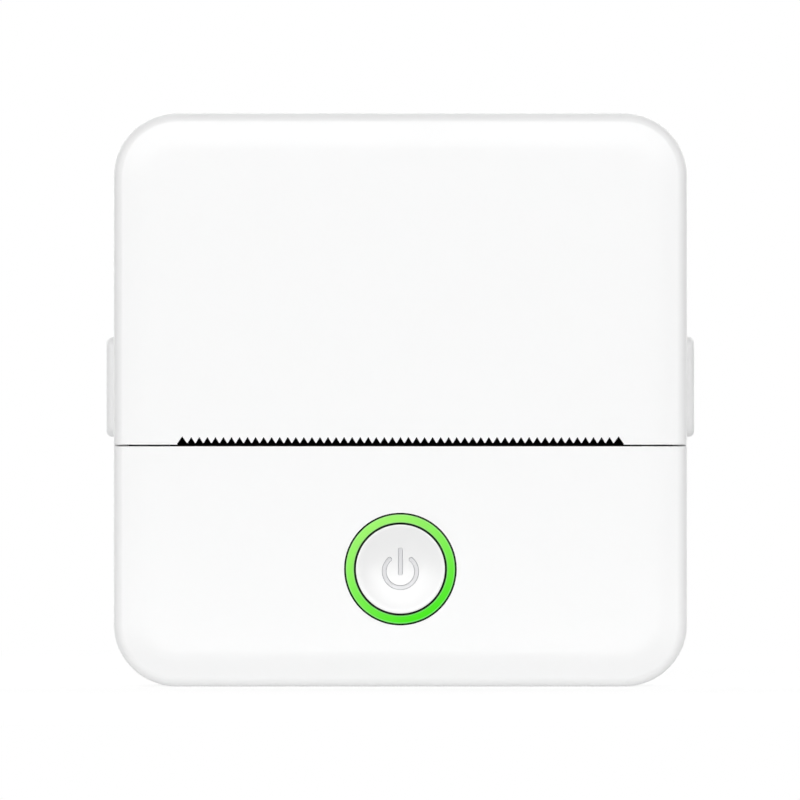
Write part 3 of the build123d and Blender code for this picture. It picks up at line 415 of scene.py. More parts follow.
def place_on(origin, out, up):
    """Function from distances to the right, up and out to points in space."""
    origin = Vector(origin)
    right = up.cross(out)

    def at(a, b, c=0.0):
        return origin + right * a + up * b + out * c

    return at


def circle(radius, steps, centre=(0, 0)):
    """Flat points round a circle."""
    return [(centre[0] + radius * math.cos(2 * math.pi * i / steps),
             centre[1] + radius * math.sin(2 * math.pi * i / steps)) for i in range(steps)]


def rounded_outline(half_width, half_height, radius, corner_steps=8):
    """Flat points round a rectangle with rounded corners."""
    points = []
    for quarter in range(4):
        centre_x = (half_width - radius) * (1 if quarter in (0, 3) else -1)
        centre_y = (half_height - radius) * (1 if quarter in (0, 1) else -1)
        for step in range(corner_steps + 1):
            turn = math.pi / 2 * (quarter + step / corner_steps)
            points.append((centre_x + radius * math.cos(turn), centre_y + radius * math.sin(turn)))
    return points


def inside(point, loop):
    """True where a flat point lies inside a closed loop."""
    x, y = point
    hit = False
    for (x0, y0), (x1, y1) in zip(loop, loop[1:] + loop[:1]):
        if (y0 > y) != (y1 > y) and x < x0 + (x1 - x0) * (y - y0) / (y1 - y0):
            hit = not hit
    return hit


def fill_flat(builder, outer, place, holes=(), loose=(), material=0):
    """Faces between an outer loop and its holes, over extra loose points."""
    points = list(outer)
    edges = [(i, (i + 1) % len(outer)) for i in range(len(outer))]
    for hole in holes:
        first = len(points)
        points += hole
        edges += [(first + i, first + (i + 1) % len(hole)) for i in range(len(hole))]
    points += loose
    whole_hull = 0
    tolerance = 1e-9
    spots = [Vector(point) for point in points]
    flat, _, faces, *_ = delaunay_2d_cdt(spots, edges, [], whole_hull, tolerance)
    made = [builder.verts.new(place(spot[0], spot[1])) for spot in flat]
    for face in faces:
        middle = sum((flat[i] for i in face), Vector((0, 0))) / len(face)
        if inside(middle, outer) and not any(inside(middle, hole) for hole in holes):
            builder.faces.new([made[i] for i in face]).material_index = material


def strip(builder, loops, material=0):
    """Faces between closed loops of equal length, given as points in space."""
    rows = [[builder.verts.new(point) for point in loop] for loop in loops]
    for one, two in zip(rows, rows[1:]):
        for i in range(len(one)):
            j = (i + 1) % len(one)
            builder.faces.new((one[i], one[j], two[j], two[i])).material_index = material
    return rows


def closed_strip(builder, loops, material=0):
    """Strip whose two ends are filled."""
    rows = strip(builder, loops, material)
    for row in (rows[0], rows[-1]):
        builder.faces.new(row).material_index = material


def lathe(builder, at, profile, steps, material=0):
    """Turned surface through points of a radius and a distance out."""
    strip(builder, [[at(x, y, out) for x, y in circle(radius, steps)] for radius, out in profile], material)


def wall(builder, at, outline, levels, material=0):
    """Straight wall along a flat outline, from one distance out to the next."""
    strip(builder, [[at(a, b, out) for a, b in outline] for out in levels], material)


def level(at, out=0.0):
    """Function that puts flat points at one distance out."""
    return lambda a, b: at(a, b, out)


def below(at, top=0.0):
    """Function that puts flat points at their depth under one distance out."""
    return lambda a, b, depth: at(a, b, top - depth)


def prism(builder, at, outline, low, high, mouths=()):
    """Straight solid between two distances out, with mouths left open in its front."""
    wall(builder, at, outline, (low, high))
    fill_flat(builder, outline, level(at, low))
    fill_flat(builder, outline, level(at, high), mouths)


def slab(builder, at, centre, half, span, bevel, material=0):
    """Flat block on a surface, from one distance out to another, with a bevelled front."""
    loops = []
    for shrink, out in ((0, span[0]), (0, span[1] - bevel), (bevel, span[1])):
        outline = rounded_outline(half[0] - shrink, half[1] - shrink, 1.5 * bevel, 2)
        loops.append([at(centre[0] + a, centre[1] + b, out) for a, b in outline])
    closed_strip(builder, loops, material)


def hollow(builder, levels, place, floor_material=0, wall_material=None):
    """Walls and floor of a hollow, through loops and their depths from its mouth down."""
    walls = floor_material if wall_material is None else wall_material
    strip(builder, [[place(x, y, depth) for x, y in loop] for loop, depth in levels], walls)
    floor, depth = levels[-1]
    fill_flat(builder, floor, lambda x, y: place(x, y, depth), material=floor_material)


def block(builder, low, high, bevel, material=0, segments=2):
    """Box with rounded edges."""
    verts = bmesh.ops.create_cube(builder, size=1)["verts"]
    low, high = Vector(low), Vector(high)
    for vert in verts:
        vert.co = (low + high) / 2 + vert.co * (high - low)
    faces = {face for vert in verts for face in vert.link_faces}
    for face in faces:
        face.material_index = material
    edges = {edge for vert in verts for edge in vert.link_edges}
    bmesh.ops.bevel(builder, geom=list(edges), offset=bevel, segments=segments, affect="EDGES",
                    profile=0.5, clamp_overlap=True, material=-1)


def solids_of(node):
    """Boxes of a CAD node's separate solids."""
    builder = bmesh.new()
    builder.from_mesh(frame["nodes"][node].data)
    bmesh.ops.remove_doubles(builder, verts=builder.verts, dist=CAD_WELD)
    waiting = set(builder.verts)
    boxes = []
    while waiting:
        edge = [waiting.pop()]
        found = list(edge)
        while edge:
            for link in edge.pop().link_edges:
                for vert in link.verts:
                    if vert in waiting:
                        waiting.remove(vert)
                        edge.append(vert)
                        found.append(vert)
        low = Vector(min(vert.co[axis] for vert in found) for axis in range(3))
        high = Vector(max(vert.co[axis] for vert in found) for axis in range(3))
        boxes.append((low, high))
    builder.free()
    return sorted(boxes, key=lambda box: [round(value, 6) for value in box[0]])


def shown(name, builder, materials, body, slot, *nodes):
    """Weld a built mesh into a piece that rides on a body and may replace CAD nodes."""
    bmesh.ops.remove_doubles(builder, verts=builder.verts, dist=PIECE_WELD)
    bmesh.ops.recalc_face_normals(builder, faces=builder.faces)
    mesh = bpy.data.meshes.new(name)
    builder.to_mesh(mesh)
    builder.free()
    for material in materials:
        mesh.materials.append(material)
    mesh.shade_smooth()
    mesh.set_sharp_from_angle(angle=SHARP_BEND)
    piece = bpy.data.objects.new(name, mesh)
    bpy.context.scene.collection.objects.link(piece)
    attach(piece, body)
    if nodes:
        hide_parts(*nodes)
    return piece


# Outlines of the power symbol

def arc_stroke(centre, radius, opening, half, steps=72, end_steps=10):
    """Outline of a round-ended arc that is open at its top."""
    sweep = 2 * (math.pi - opening)
    turns = [opening + sweep * i / steps for i in range(steps + 1)]

    def at(turn, reach):
        return (centre[0] + reach * math.sin(turn), centre[1] + reach * math.cos(turn))

    def round_end(turn, heading):
        middle = at(turn, radius)
        bends = [turn + heading * math.pi * i / end_steps for i in range(1, end_steps)]
        return [(middle[0] + half * math.sin(bend), middle[1] + half * math.cos(bend)) for bend in bends]

    outer = [at(turn, radius + half) for turn in turns]
    inner = [at(turn, radius - half) for turn in reversed(turns)]
    return outer + round_end(turns[-1], 1) + inner + round_end(turns[0], -1)[::-1]


def bar_stroke(low, high, half, steps=8, end_steps=10):
    """Outline of an upright round-ended bar."""
    low, high = low + half, high - half
    rises = [low + (high - low) * i / steps for i in range(steps + 1)]
    bends = [math.pi * i / end_steps for i in range(1, end_steps)]
    return ([(half, rise) for rise in rises]
            + [(half * math.cos(bend), high + half * math.sin(bend)) for bend in bends]
            + [(-half, rise) for rise in reversed(rises)]
            + [(-half * math.cos(bend), low - half * math.sin(bend)) for bend in bends])


# Operators

class PieceOperator:
    """What the operators share."""
    bl_options = {"REGISTER", "UNDO"}


class PRINTER_OT_casing(PieceOperator, bpy.types.Operator):
    """Finish the casing and the release buttons"""
    bl_idname = "printer.casing"
    bl_label = "Casing"

    def execute(self, context):
        look = context.scene.printer_shell
        shell = moulded("shell_white", look.colour, look.roughness, mottle=0.004, bump=0.3,
                        depth=look.grain_depth)
        finish_nodes(shell, "upper_cover", "front_panel", "rear_shell")
        # Painted light: a lighter white on the release buttons against the casing's shade on them
        tab = moulded("tab_white_painted_light", look.tab_lightened_colour, look.roughness + 0.05, scale=8000, mottle=0.004,
                      bump=0.4, depth=look.grain_depth)
        finish_nodes(tab, "release_button_left", "release_button_right")
        return {"FINISHED"}


class PRINTER_OT_light_ring(PieceOperator, bpy.types.Operator):
    """Finish the green light ring: painted light above and painted shade below, painted highlights just
    inside both edges and painted shade lines at both edges
    """
    bl_idname = "printer.light_ring"
    bl_label = "Light Ring"

    def execute(self, context):
        look = context.scene.printer_ring
        material, shader = blank("ring_green")
        tree = material.node_tree

        def vector_step(operation, *values):
            """Node of a step in vectors."""
            return add_node(tree, "ShaderNodeVectorMath", dict(enumerate(values)), operation=operation)

        def number_step(operation, *values):
            """Result of a step in numbers."""
            node = add_node(tree, "ShaderNodeMath", dict(enumerate(values)), operation=operation)
            return node.outputs["Value"]

        def rise(source, start, end, most=1.0):
            """From 0 to the most as the source goes from start to end."""
            node = add_node(tree, "ShaderNodeMapRange",
                            {"Value": source, "From Min": start, "From Max": end, "To Max": most})
            return node.outputs["Result"]

        def blend(factor, first, second):
            """Colour between two others."""
            node = add_node(tree, "ShaderNodeMix", {"Factor": factor, "A": first, "B": second},
                            data_type="RGBA")
            return node.outputs["Result"]

        # Painted light and shade: the green blends from the shaded foot colour to the lit top colour along
        # the painted light angle
        offset = vector_step("SUBTRACT", place_in(tree), cap_middle).outputs[0]
        flat = vector_step("MULTIPLY", offset, (1, 0, 1)).outputs[0]
        heading = (math.cos(look.painted_light_angle), 0, math.sin(look.painted_light_angle))
        along = vector_step("DOT_PRODUCT", flat, heading).outputs["Value"]
        green = blend(rise(along, -look.outer_radius, look.outer_radius),
                      (*look.shaded_foot_green, 1), (*look.lit_top_green, 1))
        radius = vector_step("LENGTH", flat).outputs["Value"]
        off_middle = number_step("SUBTRACT", radius, (look.outer_radius + look.inner_radius) / 2)
        across = number_step("ABSOLUTE", off_middle)
        shade_at = (look.outer_radius - look.inner_radius) / 2 - look.shade_line
        highlight_at = shade_at - look.highlight_line
        soft_before = 0.04 * MM
        soft_after = 0.02 * MM
        # Painted highlight: white mixed into the green in a line just inside each edge
        rim = rise(across, highlight_at - soft_before, highlight_at + soft_after, look.highlight_paleness)
        # Painted shade: the dark edge colour over the outermost width at each edge, for the shade in the
        # gaps
        edge = rise(across, shade_at, shade_at + look.shade_line / 2)
        with_highlights = blend(rim, green, (1, 1, 1, 1))
        tree.links.new(blend(edge, with_highlights, (*look.edge_shade_colour, 1)), shader.inputs["Base Color"])
        shader.inputs["Roughness"].default_value = 0.3
        shader.inputs["Specular IOR Level"].default_value = 0.05
        finish_nodes(material, "light_ring")
        return {"FINISHED"}


class PRINTER_OT_power_cap(PieceOperator, bpy.types.Operator):
    """Build the dished power cap with its engraved power symbol, painted shade in the symbol's groove, and
    a dark skirt that paints the shade of the gap round the cap
    """
    bl_idname = "printer.power_cap"
    bl_label = "Power Cap"

    def execute(self, context):
        look = context.scene.printer_cap
        skin = moulded("cap_silver_white", look.colour, look.roughness, scale=9000, mottle=0.006,
                       bump=0.2, depth=0.003 * MM)
        # Painted shade: a dark material for the cap's side, flange and post, so that the gap round the cap
        # looks shaded
        skirt = moulded("skirt_dark", look.skirt_shade_colour, 0.6)
        # Painted shade: grey floor and dark walls for the engraved groove
        symbol_floor_shade = moulded("symbol_floor_shade", look.symbol_floor_shade_colour, 0.4, scale=9000)
        symbol_wall = moulded("symbol_wall", look.symbol_wall, 0.5, scale=9000)
        builder = bmesh.new()
        at = place_on((cap_middle.x, cap_low.y, cap_middle.z), FRONT, UP)
        dish_radius = look.radius - look.land
        # Radius of the ball whose surface the dish follows
        ball = (dish_radius ** 2 + look.dish_depth ** 2) / (2 * look.dish_depth)

        def on_dish(x, z, depth=0.0):
            """Place on the dish or the rim round it, or at a depth below."""
            reach = min(math.hypot(x, z), dish_radius)
            return at(x, z, ball - look.dish_depth - math.sqrt(ball ** 2 - reach ** 2) - depth)

        half = look.stroke / 2
        # How far the outline grows and the share of the depth, from the groove's mouth to its floor
        groove = ((0.02 * MM, 0), (-0.02 * MM, 0.1), (-0.05 * MM, 0.9), (-0.08 * MM, 1))
        outlines = (
            lambda reach: arc_stroke((0, -look.arc_drop), look.arc_radius, look.arc_opening, reach),
            lambda reach: bar_stroke(look.bar_bottom, look.bar_top, reach),
        )
        symbol = []
        for outline in outlines:
            levels = [(outline(half + grow), part * look.groove_depth) for grow, part in groove]
            # The groove's floor and walls take the painted shade materials
            hollow(builder, levels, on_dish, 2, 3)
            symbol.append(levels[0][0])

        steps = 144
        rings = 14
        fewest = 8
        clearance = 0.12 * MM
        face = circle(dish_radius, steps)
        for ring in range(1, rings):
            for point in circle(dish_radius * ring / rings, max(fewest, steps * ring // rings)):
                near = min(math.dist(point, other) for loop in symbol for other in loop)
                if near > clearance and not any(inside(point, loop) for loop in symbol):
                    face.append(point)
        rim = look.rim_radius
        edge = look.radius - rim
        fill_flat(builder, circle(edge, steps), on_dish, symbol, face)
        bends = [math.radians(degrees) for degrees in (0, 22, 45, 68, 90)]
        lathe(builder, at, [(edge + rim * math.sin(bend), rim * (math.cos(bend) - 1)) for bend in bends],
              steps)

        flange_radius = (cap_high.x - cap_low.x) / 2
        flange_front = cap_low.y - ring_back_y - look.flange_gap
        flange_back = cap_low.y - cap_high.y
        bore = look.radius - look.wall
        post_end = cap_low.y - plunger_tip_y
        skirt_profile = [
            (look.radius, -rim), (look.radius, flange_front),
            (flange_radius, flange_front), (flange_radius, flange_back),
            (bore, flange_back), (bore, -look.face_depth),
            (look.post_radius, -look.face_depth), (look.post_radius, post_end), (0, post_end),
        ]
        # Painted shade on the side, flange and post
        lathe(builder, at, skirt_profile, steps, material=1)
        shown("power_cap", builder, [skin, skirt, symbol_floor_shade, symbol_wall], "power_button", "cap_white",
              "power_button")
        return {"FINISHED"}


class PRINTER_OT_screws(PieceOperator, bpy.types.Operator):
    """Build all screws, with threads and cross recesses"""
    bl_idname = "printer.screws"
    bl_label = "Screws"

    def execute(self, context):
        look = context.scene.printer_screws
        zinc = metal("screw_zinc", (0.6, 0.61, 0.63), 0.34, EVEN_GRAIN)
        # Painted shade: a darker copy of the zinc inside the cross recesses
        recess = metal("recess_zinc_painted_shade", (0.3, 0.3, 0.31), 0.5, EVEN_GRAIN)
        # Degrees that the first recess is turned by, and each next one further
        first_turn = 20
        turn_step = 37
        sets = (
            ("shell_screws", "casing", BACK, look.large_head),
            ("bracket_screws", "cover", BACK, look.small_head),
            ("board_screws", "casing", BACK, look.small_head),
            ("motor_screws", "casing", RIGHT, look.small_head),
        )
        for node, body, out, head_height in sets:
            builder = bmesh.new()
            for number, box in enumerate(solids_of(node)):
                turn = math.radians(first_turn + turn_step * number)
                self.screw(builder, box, out, head_height, turn, look)
            shown(node + "_threaded", builder, [zinc, recess], body, "screw_steel", node)
        return {"FINISHED"}

    def screw(self, builder, box, out, head_height, turn, look):
        """One pan-head screw in the box of its CAD solid."""
        low, high = box
        along = (high - low).dot(out)
        seat = (low + high) / 2 + out * (along / 2 - head_height)
        at = place_on(seat, out, UP)
        radius = (high.z - low.z) / 2
        steps = 32
        crown = head_height * 0.35
        flat_radius = radius - crown
        shoulder = head_height - crown
        recess_taper = 0.8
        rows_in_turn = 5
        tip_share = 0.25
        tip_length = 1.2 * look.thread_pitch

        def cross(scale):
            """Outline of the cross recess, at a share of its size."""
            reach = radius * look.recess_reach * scale
            half = radius * look.recess_width * scale
            points = []
            for quarter in range(4):
                bend = turn + quarter * math.pi / 2
                for x, y in ((half, -reach), (half, -half), (reach, -half)):
                    points.append((x * math.cos(bend) - y * math.sin(bend),
                                   x * math.sin(bend) + y * math.cos(bend)))
            return points

        fill_flat(builder, circle(flat_radius, steps), level(at, head_height), [cross(1)])
        # The recess walls and floor take the darker zinc of painted shade
        hollow(builder, [(cross(1), 0), (cross(recess_taper), head_height * look.recess_depth)],
               below(at, head_height), 1)
        bends = [math.radians(degrees) for degrees in (0, 30, 60, 90)]
        profile = [(flat_radius + crown * math.sin(bend), shoulder + crown * math.cos(bend))
                   for bend in bends]
        lathe(builder, at, profile + [(radius, 0)], steps)
        length = along - head_height
        rows = int(length / look.thread_pitch * rows_in_turn)
        loops = [[at(x, y) for x, y in circle(radius, steps)]]
        for row in range(rows + 1):
            depth = length * row / rows
            taper = min(1, tip_share + (1 - tip_share) * (length - depth) / tip_length)
            loop = []
            for step in range(steps):
                phase = (depth / look.thread_pitch + step / steps) % 1
                reach = (look.shank_radius - look.thread_depth * abs(2 * phase - 1)) * taper
                bend = 2 * math.pi * step / steps
                loop.append(at(reach * math.cos(bend), reach * math.sin(bend), -depth))
            loops.append(loop)
        loops.append([at(0, 0, -length)] * steps)
        strip(builder, loops)


class PRINTER_OT_paper_roll(PieceOperator, bpy.types.Operator):
    """Build the paper roll as one wound band with a loose end"""
    bl_idname = "printer.paper_roll"
    bl_label = "Paper Roll"

    def execute(self, context):
        look = context.scene.printer_paper
        paper = moulded("thermal_paper", look.colour, 0.5, scale=3000, mottle=0.015, bump=0.3)
        builder = bmesh.new()
        middle = (roll_low + roll_high) / 2
        at = place_on(middle, RIGHT, UP)
        half = (roll_high.x - roll_low.x) / 2
        core_play = 0.03 * MM
        inner = core_high_z - middle.z + core_play
        outer = (roll_high.z - roll_low.z) / 2
        step_out = (outer - inner) / (look.turns + 1)
        band = step_out * 0.86
        steps = 72
        quick_sway = 0.37
        slow_sway = 0.131
        loops = []
        for step in range(look.turns * steps + 1):
            wound = 2 * math.pi * step / steps
            bend = look.tail_angle - 2 * math.pi * look.turns + wound
            near = inner + step_out * step / steps
            far = near + band
            sway = math.sin(quick_sway * wound) * math.sin(slow_sway * wound)
            side = half - look.unevenness * (0.5 + 0.5 * sway)
            loops.append([at(reach * math.cos(bend), reach * math.sin(bend), end)
                          for reach, end in ((near, side), (far, side), (far, -side), (near, -side))])
        closed_strip(builder, loops)
        shown("wound_paper", builder, [paper], "roll", "thermal_paper", "paper_roll")
        finish_nodes(moulded("core_grey", (0.5, 0.5, 0.51), 0.45), "roll_core")
        return {"FINISHED"}


class PRINTER_OT_print_head(PieceOperator, bpy.types.Operator):
    """Finish the print head and add its heater line, gold lines and driver coating"""
    bl_idname = "printer.print_head"
    bl_label = "Print Head"

    def execute(self, context):
        look = context.scene.printer_head
        finish_nodes(metal("head_aluminium", (0.74, 0.74, 0.75), 0.4), "head_heatsink")
        finish_nodes(moulded("heater_ceramic", (0.8, 0.78, 0.72), 0.2, mottle=0.04, bump=0.05),
                     "head_ceramic")
        glaze = moulded("heater_glaze", (0.06, 0.035, 0.02), 0.1, bump=0.02)
        epoxy = moulded("driver_epoxy", (0.012, 0.012, 0.013), 0.28, scale=1500, bump=0.2)
        gold = metal("trace_gold", (0.83, 0.6, 0.22), 0.3, DRAWN_ALONG_Z)

        builder = bmesh.new()
        self.bead(builder, platen_z, look.glaze_width / 2, look.glaze_height, look.end_margin)
        shown("heater_line", builder, [glaze], "head", "head_glaze")
        builder = bmesh.new()
        coating_rise = 0.5 * MM
        coating_z = heater_low.z + coating_rise + look.coating_width / 2
        self.bead(builder, coating_z, look.coating_width / 2, look.coating_height, 2 * look.end_margin)
        shown("driver_coating", builder, [epoxy], "head", "head_glaze")

        builder = bmesh.new()
        line_inset = 1 * MM
        span = heater_high.x - heater_low.x - 2 * look.end_margin - 2 * line_inset
        lines = int(span / look.trace_pitch)
        for line in range(lines + 1):
            x = (line - lines / 2) * look.trace_pitch
            self.gold_bar(builder, x - look.trace_width / 2, x + look.trace_width / 2, coating_z, platen_z)
        rail_z = platen_z + look.glaze_width
        self.gold_bar(builder, -span / 2, span / 2, rail_z, rail_z + 2 * look.trace_width)
        shown("gold_lines", builder, [gold], "head", "head_glaze")
        return {"FINISHED"}

    def gold_bar(self, builder, low_x, high_x, low_z, high_z):
        """Thin gold bar that stands half out of the heater bar."""
        half = 0.012 * MM
        block(builder, (low_x, heater_low.y - half, low_z), (high_x, heater_low.y + half, high_z), half / 3,
              segments=1)

    def bead(self, builder, z, half_width, height, margin):
        """Low rounded bead along the heater bar."""
        sunk = 0.01 * MM
        bend_steps = 12
        # Distance from the end in half widths, and the share of the section reached there
        ends = [(0, 0), (0.1, 0.45), (0.3, 0.75), (0.6, 0.93), (1, 1)]
        low_x, high_x = heater_low.x + margin, heater_high.x - margin
        stations = [(low_x + half_width * run, scale) for run, scale in ends]
        stations += [(high_x - half_width * run, scale) for run, scale in reversed(ends)]
        bends = [math.pi * i / bend_steps for i in range(bend_steps + 1)]
        loops = []
        for x, scale in stations:
            loops.append([Vector((x, heater_low.y + sunk - height * scale * math.sin(bend),
                                  z + half_width * scale * math.cos(bend))) for bend in bends])
        strip(builder, loops)


class PRINTER_OT_charging_socket(PieceOperator, bpy.types.Operator):
    """Build the charging socket with its steel shell, tongue and contacts"""
    bl_idname = "printer.charging_socket"
    bl_label = "Charging Socket"

    def execute(self, context):
        look = context.scene.printer_socket
        nickel = metal("socket_nickel", (0.68, 0.67, 0.65), 0.25, DRAWN_ALONG_X)
        black = moulded("tongue_black", (0.015, 0.015, 0.016), 0.4)
        gold = metal("contact_gold", (0.85, 0.63, 0.25), 0.25, DRAWN_ALONG_X)
        builder = bmesh.new()
        middle = (socket_low + socket_high) / 2
        at = place_on((socket_high.x, middle.y, middle.z), RIGHT, UP)
        half_height = (socket_high.y - socket_low.y) / 2
        half_width = (socket_high.z - socket_low.z) / 2
        length = socket_high.x - socket_low.x
        lip = 0.08 * MM
        flat_side = 0.001 * MM
        tongue_tip = -0.45 * MM
        tongue_root = -look.depth - 0.2 * MM
        contact_tip = tongue_tip - 0.4 * MM
        proud = 0.03 * MM

        def stadium(inset):
            """Outline of the shell with round sides, moved inwards."""
            half = half_height - inset
            return rounded_outline(half, half_width - inset, half - flat_side)

        shell = ((0, -length), (0, -lip), (lip, 0), (look.wall - lip, 0), (look.wall, -lip),
                 (look.wall, -look.depth))
        strip(builder, [[at(a, b, out) for a, b in stadium(inset)] for inset, out in shell])
        fill_flat(builder, stadium(0), level(at, -length))
        fill_flat(builder, stadium(look.wall), level(at, -look.depth), material=1)
        half_tongue = look.tongue_thickness / 2
        block(builder, at(-half_tongue, -look.tongue_width / 2, tongue_root),
              at(half_tongue, look.tongue_width / 2, tongue_tip), 0.12 * MM, material=1)
        for side in (-1, 1):
            for number in range(look.contact_count):
                b = (number - (look.contact_count - 1) / 2) * look.contact_pitch
                first = at(side * half_tongue, b - look.contact_width / 2, -look.depth)
                last = at(side * (half_tongue + proud), b + look.contact_width / 2, contact_tip)
                low = [min(one, two) for one, two in zip(first, last)]
                high = [max(one, two) for one, two in zip(first, last)]
                block(builder, low, high, proud / 4, material=2, segments=1)
        shown("charging_socket", builder, [nickel, black, gold], "casing", "socket_steel", "usb_socket")
        return {"FINISHED"}


class PRINTER_OT_springs(PieceOperator, bpy.types.Operator):
    """Build the coil springs"""
    bl_idname = "printer.springs"
    bl_label = "Springs"

    def execute(self, context):
        look = context.scene.printer_springs
        wire = metal("spring_wire", (0.55, 0.55, 0.56), 0.3, EVEN_GRAIN)
        finish_nodes(wire, "gear_clips")
        joints = {joint["name"]: joint for joint in frame["joints"]}
        tilt = joints["head_pivot"]
        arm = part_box("head_springs")[1].z - tilt["pos_m"][2]
        head_travel = arm * math.sin(math.radians(tilt["range_deg"][1]))
        sets = (
            ("head_springs", "head_pivot", FRONT, "fixed_end_y_m", head_travel),
            ("release_spring_right", "release_press_right", RIGHT, "fixed_end_x_m", None),
            ("release_spring_left", "release_press_left", -RIGHT, "fixed_end_x_m", None),
        )
        for node, joint_name, out, end_name, travel in sets:
            joint = joints[joint_name]
            fixed_end = joint["deforming_nodes"][0][end_name]
            builder = bmesh.new()
            for low, high in solids_of(node):
                middle = (low + high) / 2
                # The fixed end is a place on the x or y axis, and the sign of out turns it to run outwards
                seat = middle + out * (fixed_end * (out.x + out.y) - middle.dot(out))
                length = 2 * abs((middle - seat).dot(out))
                self.coil(builder, place_on(seat, out, UP), length, (high.z - low.z) / 2, look)
            piece = shown(node + "_coil", builder, [wire], "casing", "spring_steel", node)
            if travel is None:
                travel = joint["range_m"][1]
            tuple(out)
            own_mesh(piece)
        return {"FINISHED"}

    def coil(self, builder, at, length, outer, look):
        """Coil with closed ends, from its seat to its free end."""
        wire = look.wire_radius
        radius = outer - wire
        steps = 24
        closed = steps * 3 // 4
        closed_rise = wire * 0.4
        low = wire + look.end_gap
        high = length - low
        total = steps * look.turns
        loops = []
        for step in range(-closed, total + closed + 1):
            out = low + (high - low) * min(1, max(0, step / total))
            out -= closed_rise * (min(0, step) + max(0, step - total)) / closed
            bend = 2 * math.pi * step / steps
            loops.append([at((radius + across) * math.cos(bend), (radius + across) * math.sin(bend),
                             out + along) for across, along in circle(wire, 10)])
        closed_strip(builder, loops)


class PRINTER_OT_mechanism(PieceOperator, bpy.types.Operator):
    """Finish the frame, the gears, the platen and the motor"""
    bl_idname = "printer.mechanism"
    bl_label = "Mechanism"

    def execute(self, context):
        finish_nodes(moulded("frame_black", (0.018, 0.018, 0.019), 0.5, mottle=0.2),
                     "chassis", "platen_bracket")
        finish_nodes(moulded("ground_rubber", (0.03, 0.03, 0.032), 0.75, scale=12000, mottle=0.3, bump=0.6),
                     "platen_roller")
        finish_nodes(metal("ground_steel", (0.62, 0.62, 0.63), 0.22),
                     "hinge_pins", "platen_shaft", "gear_posts", "head_pivot_pin")
        finish_nodes(moulded("gear_acetal", (0.82, 0.8, 0.74), 0.35, mottle=0.03),
                     "platen_gear", "idler_gear", "reduction_gear", "motor_pinion")
        finish_nodes(moulded("bushing_acetal", (0.05, 0.05, 0.055), 0.35, mottle=0.1), "platen_bushings")
        finish_nodes(metal("motor_can", (0.58, 0.58, 0.57), 0.28, mottle=0.08, bump=0.1), "motor")
        return {"FINISHED"}


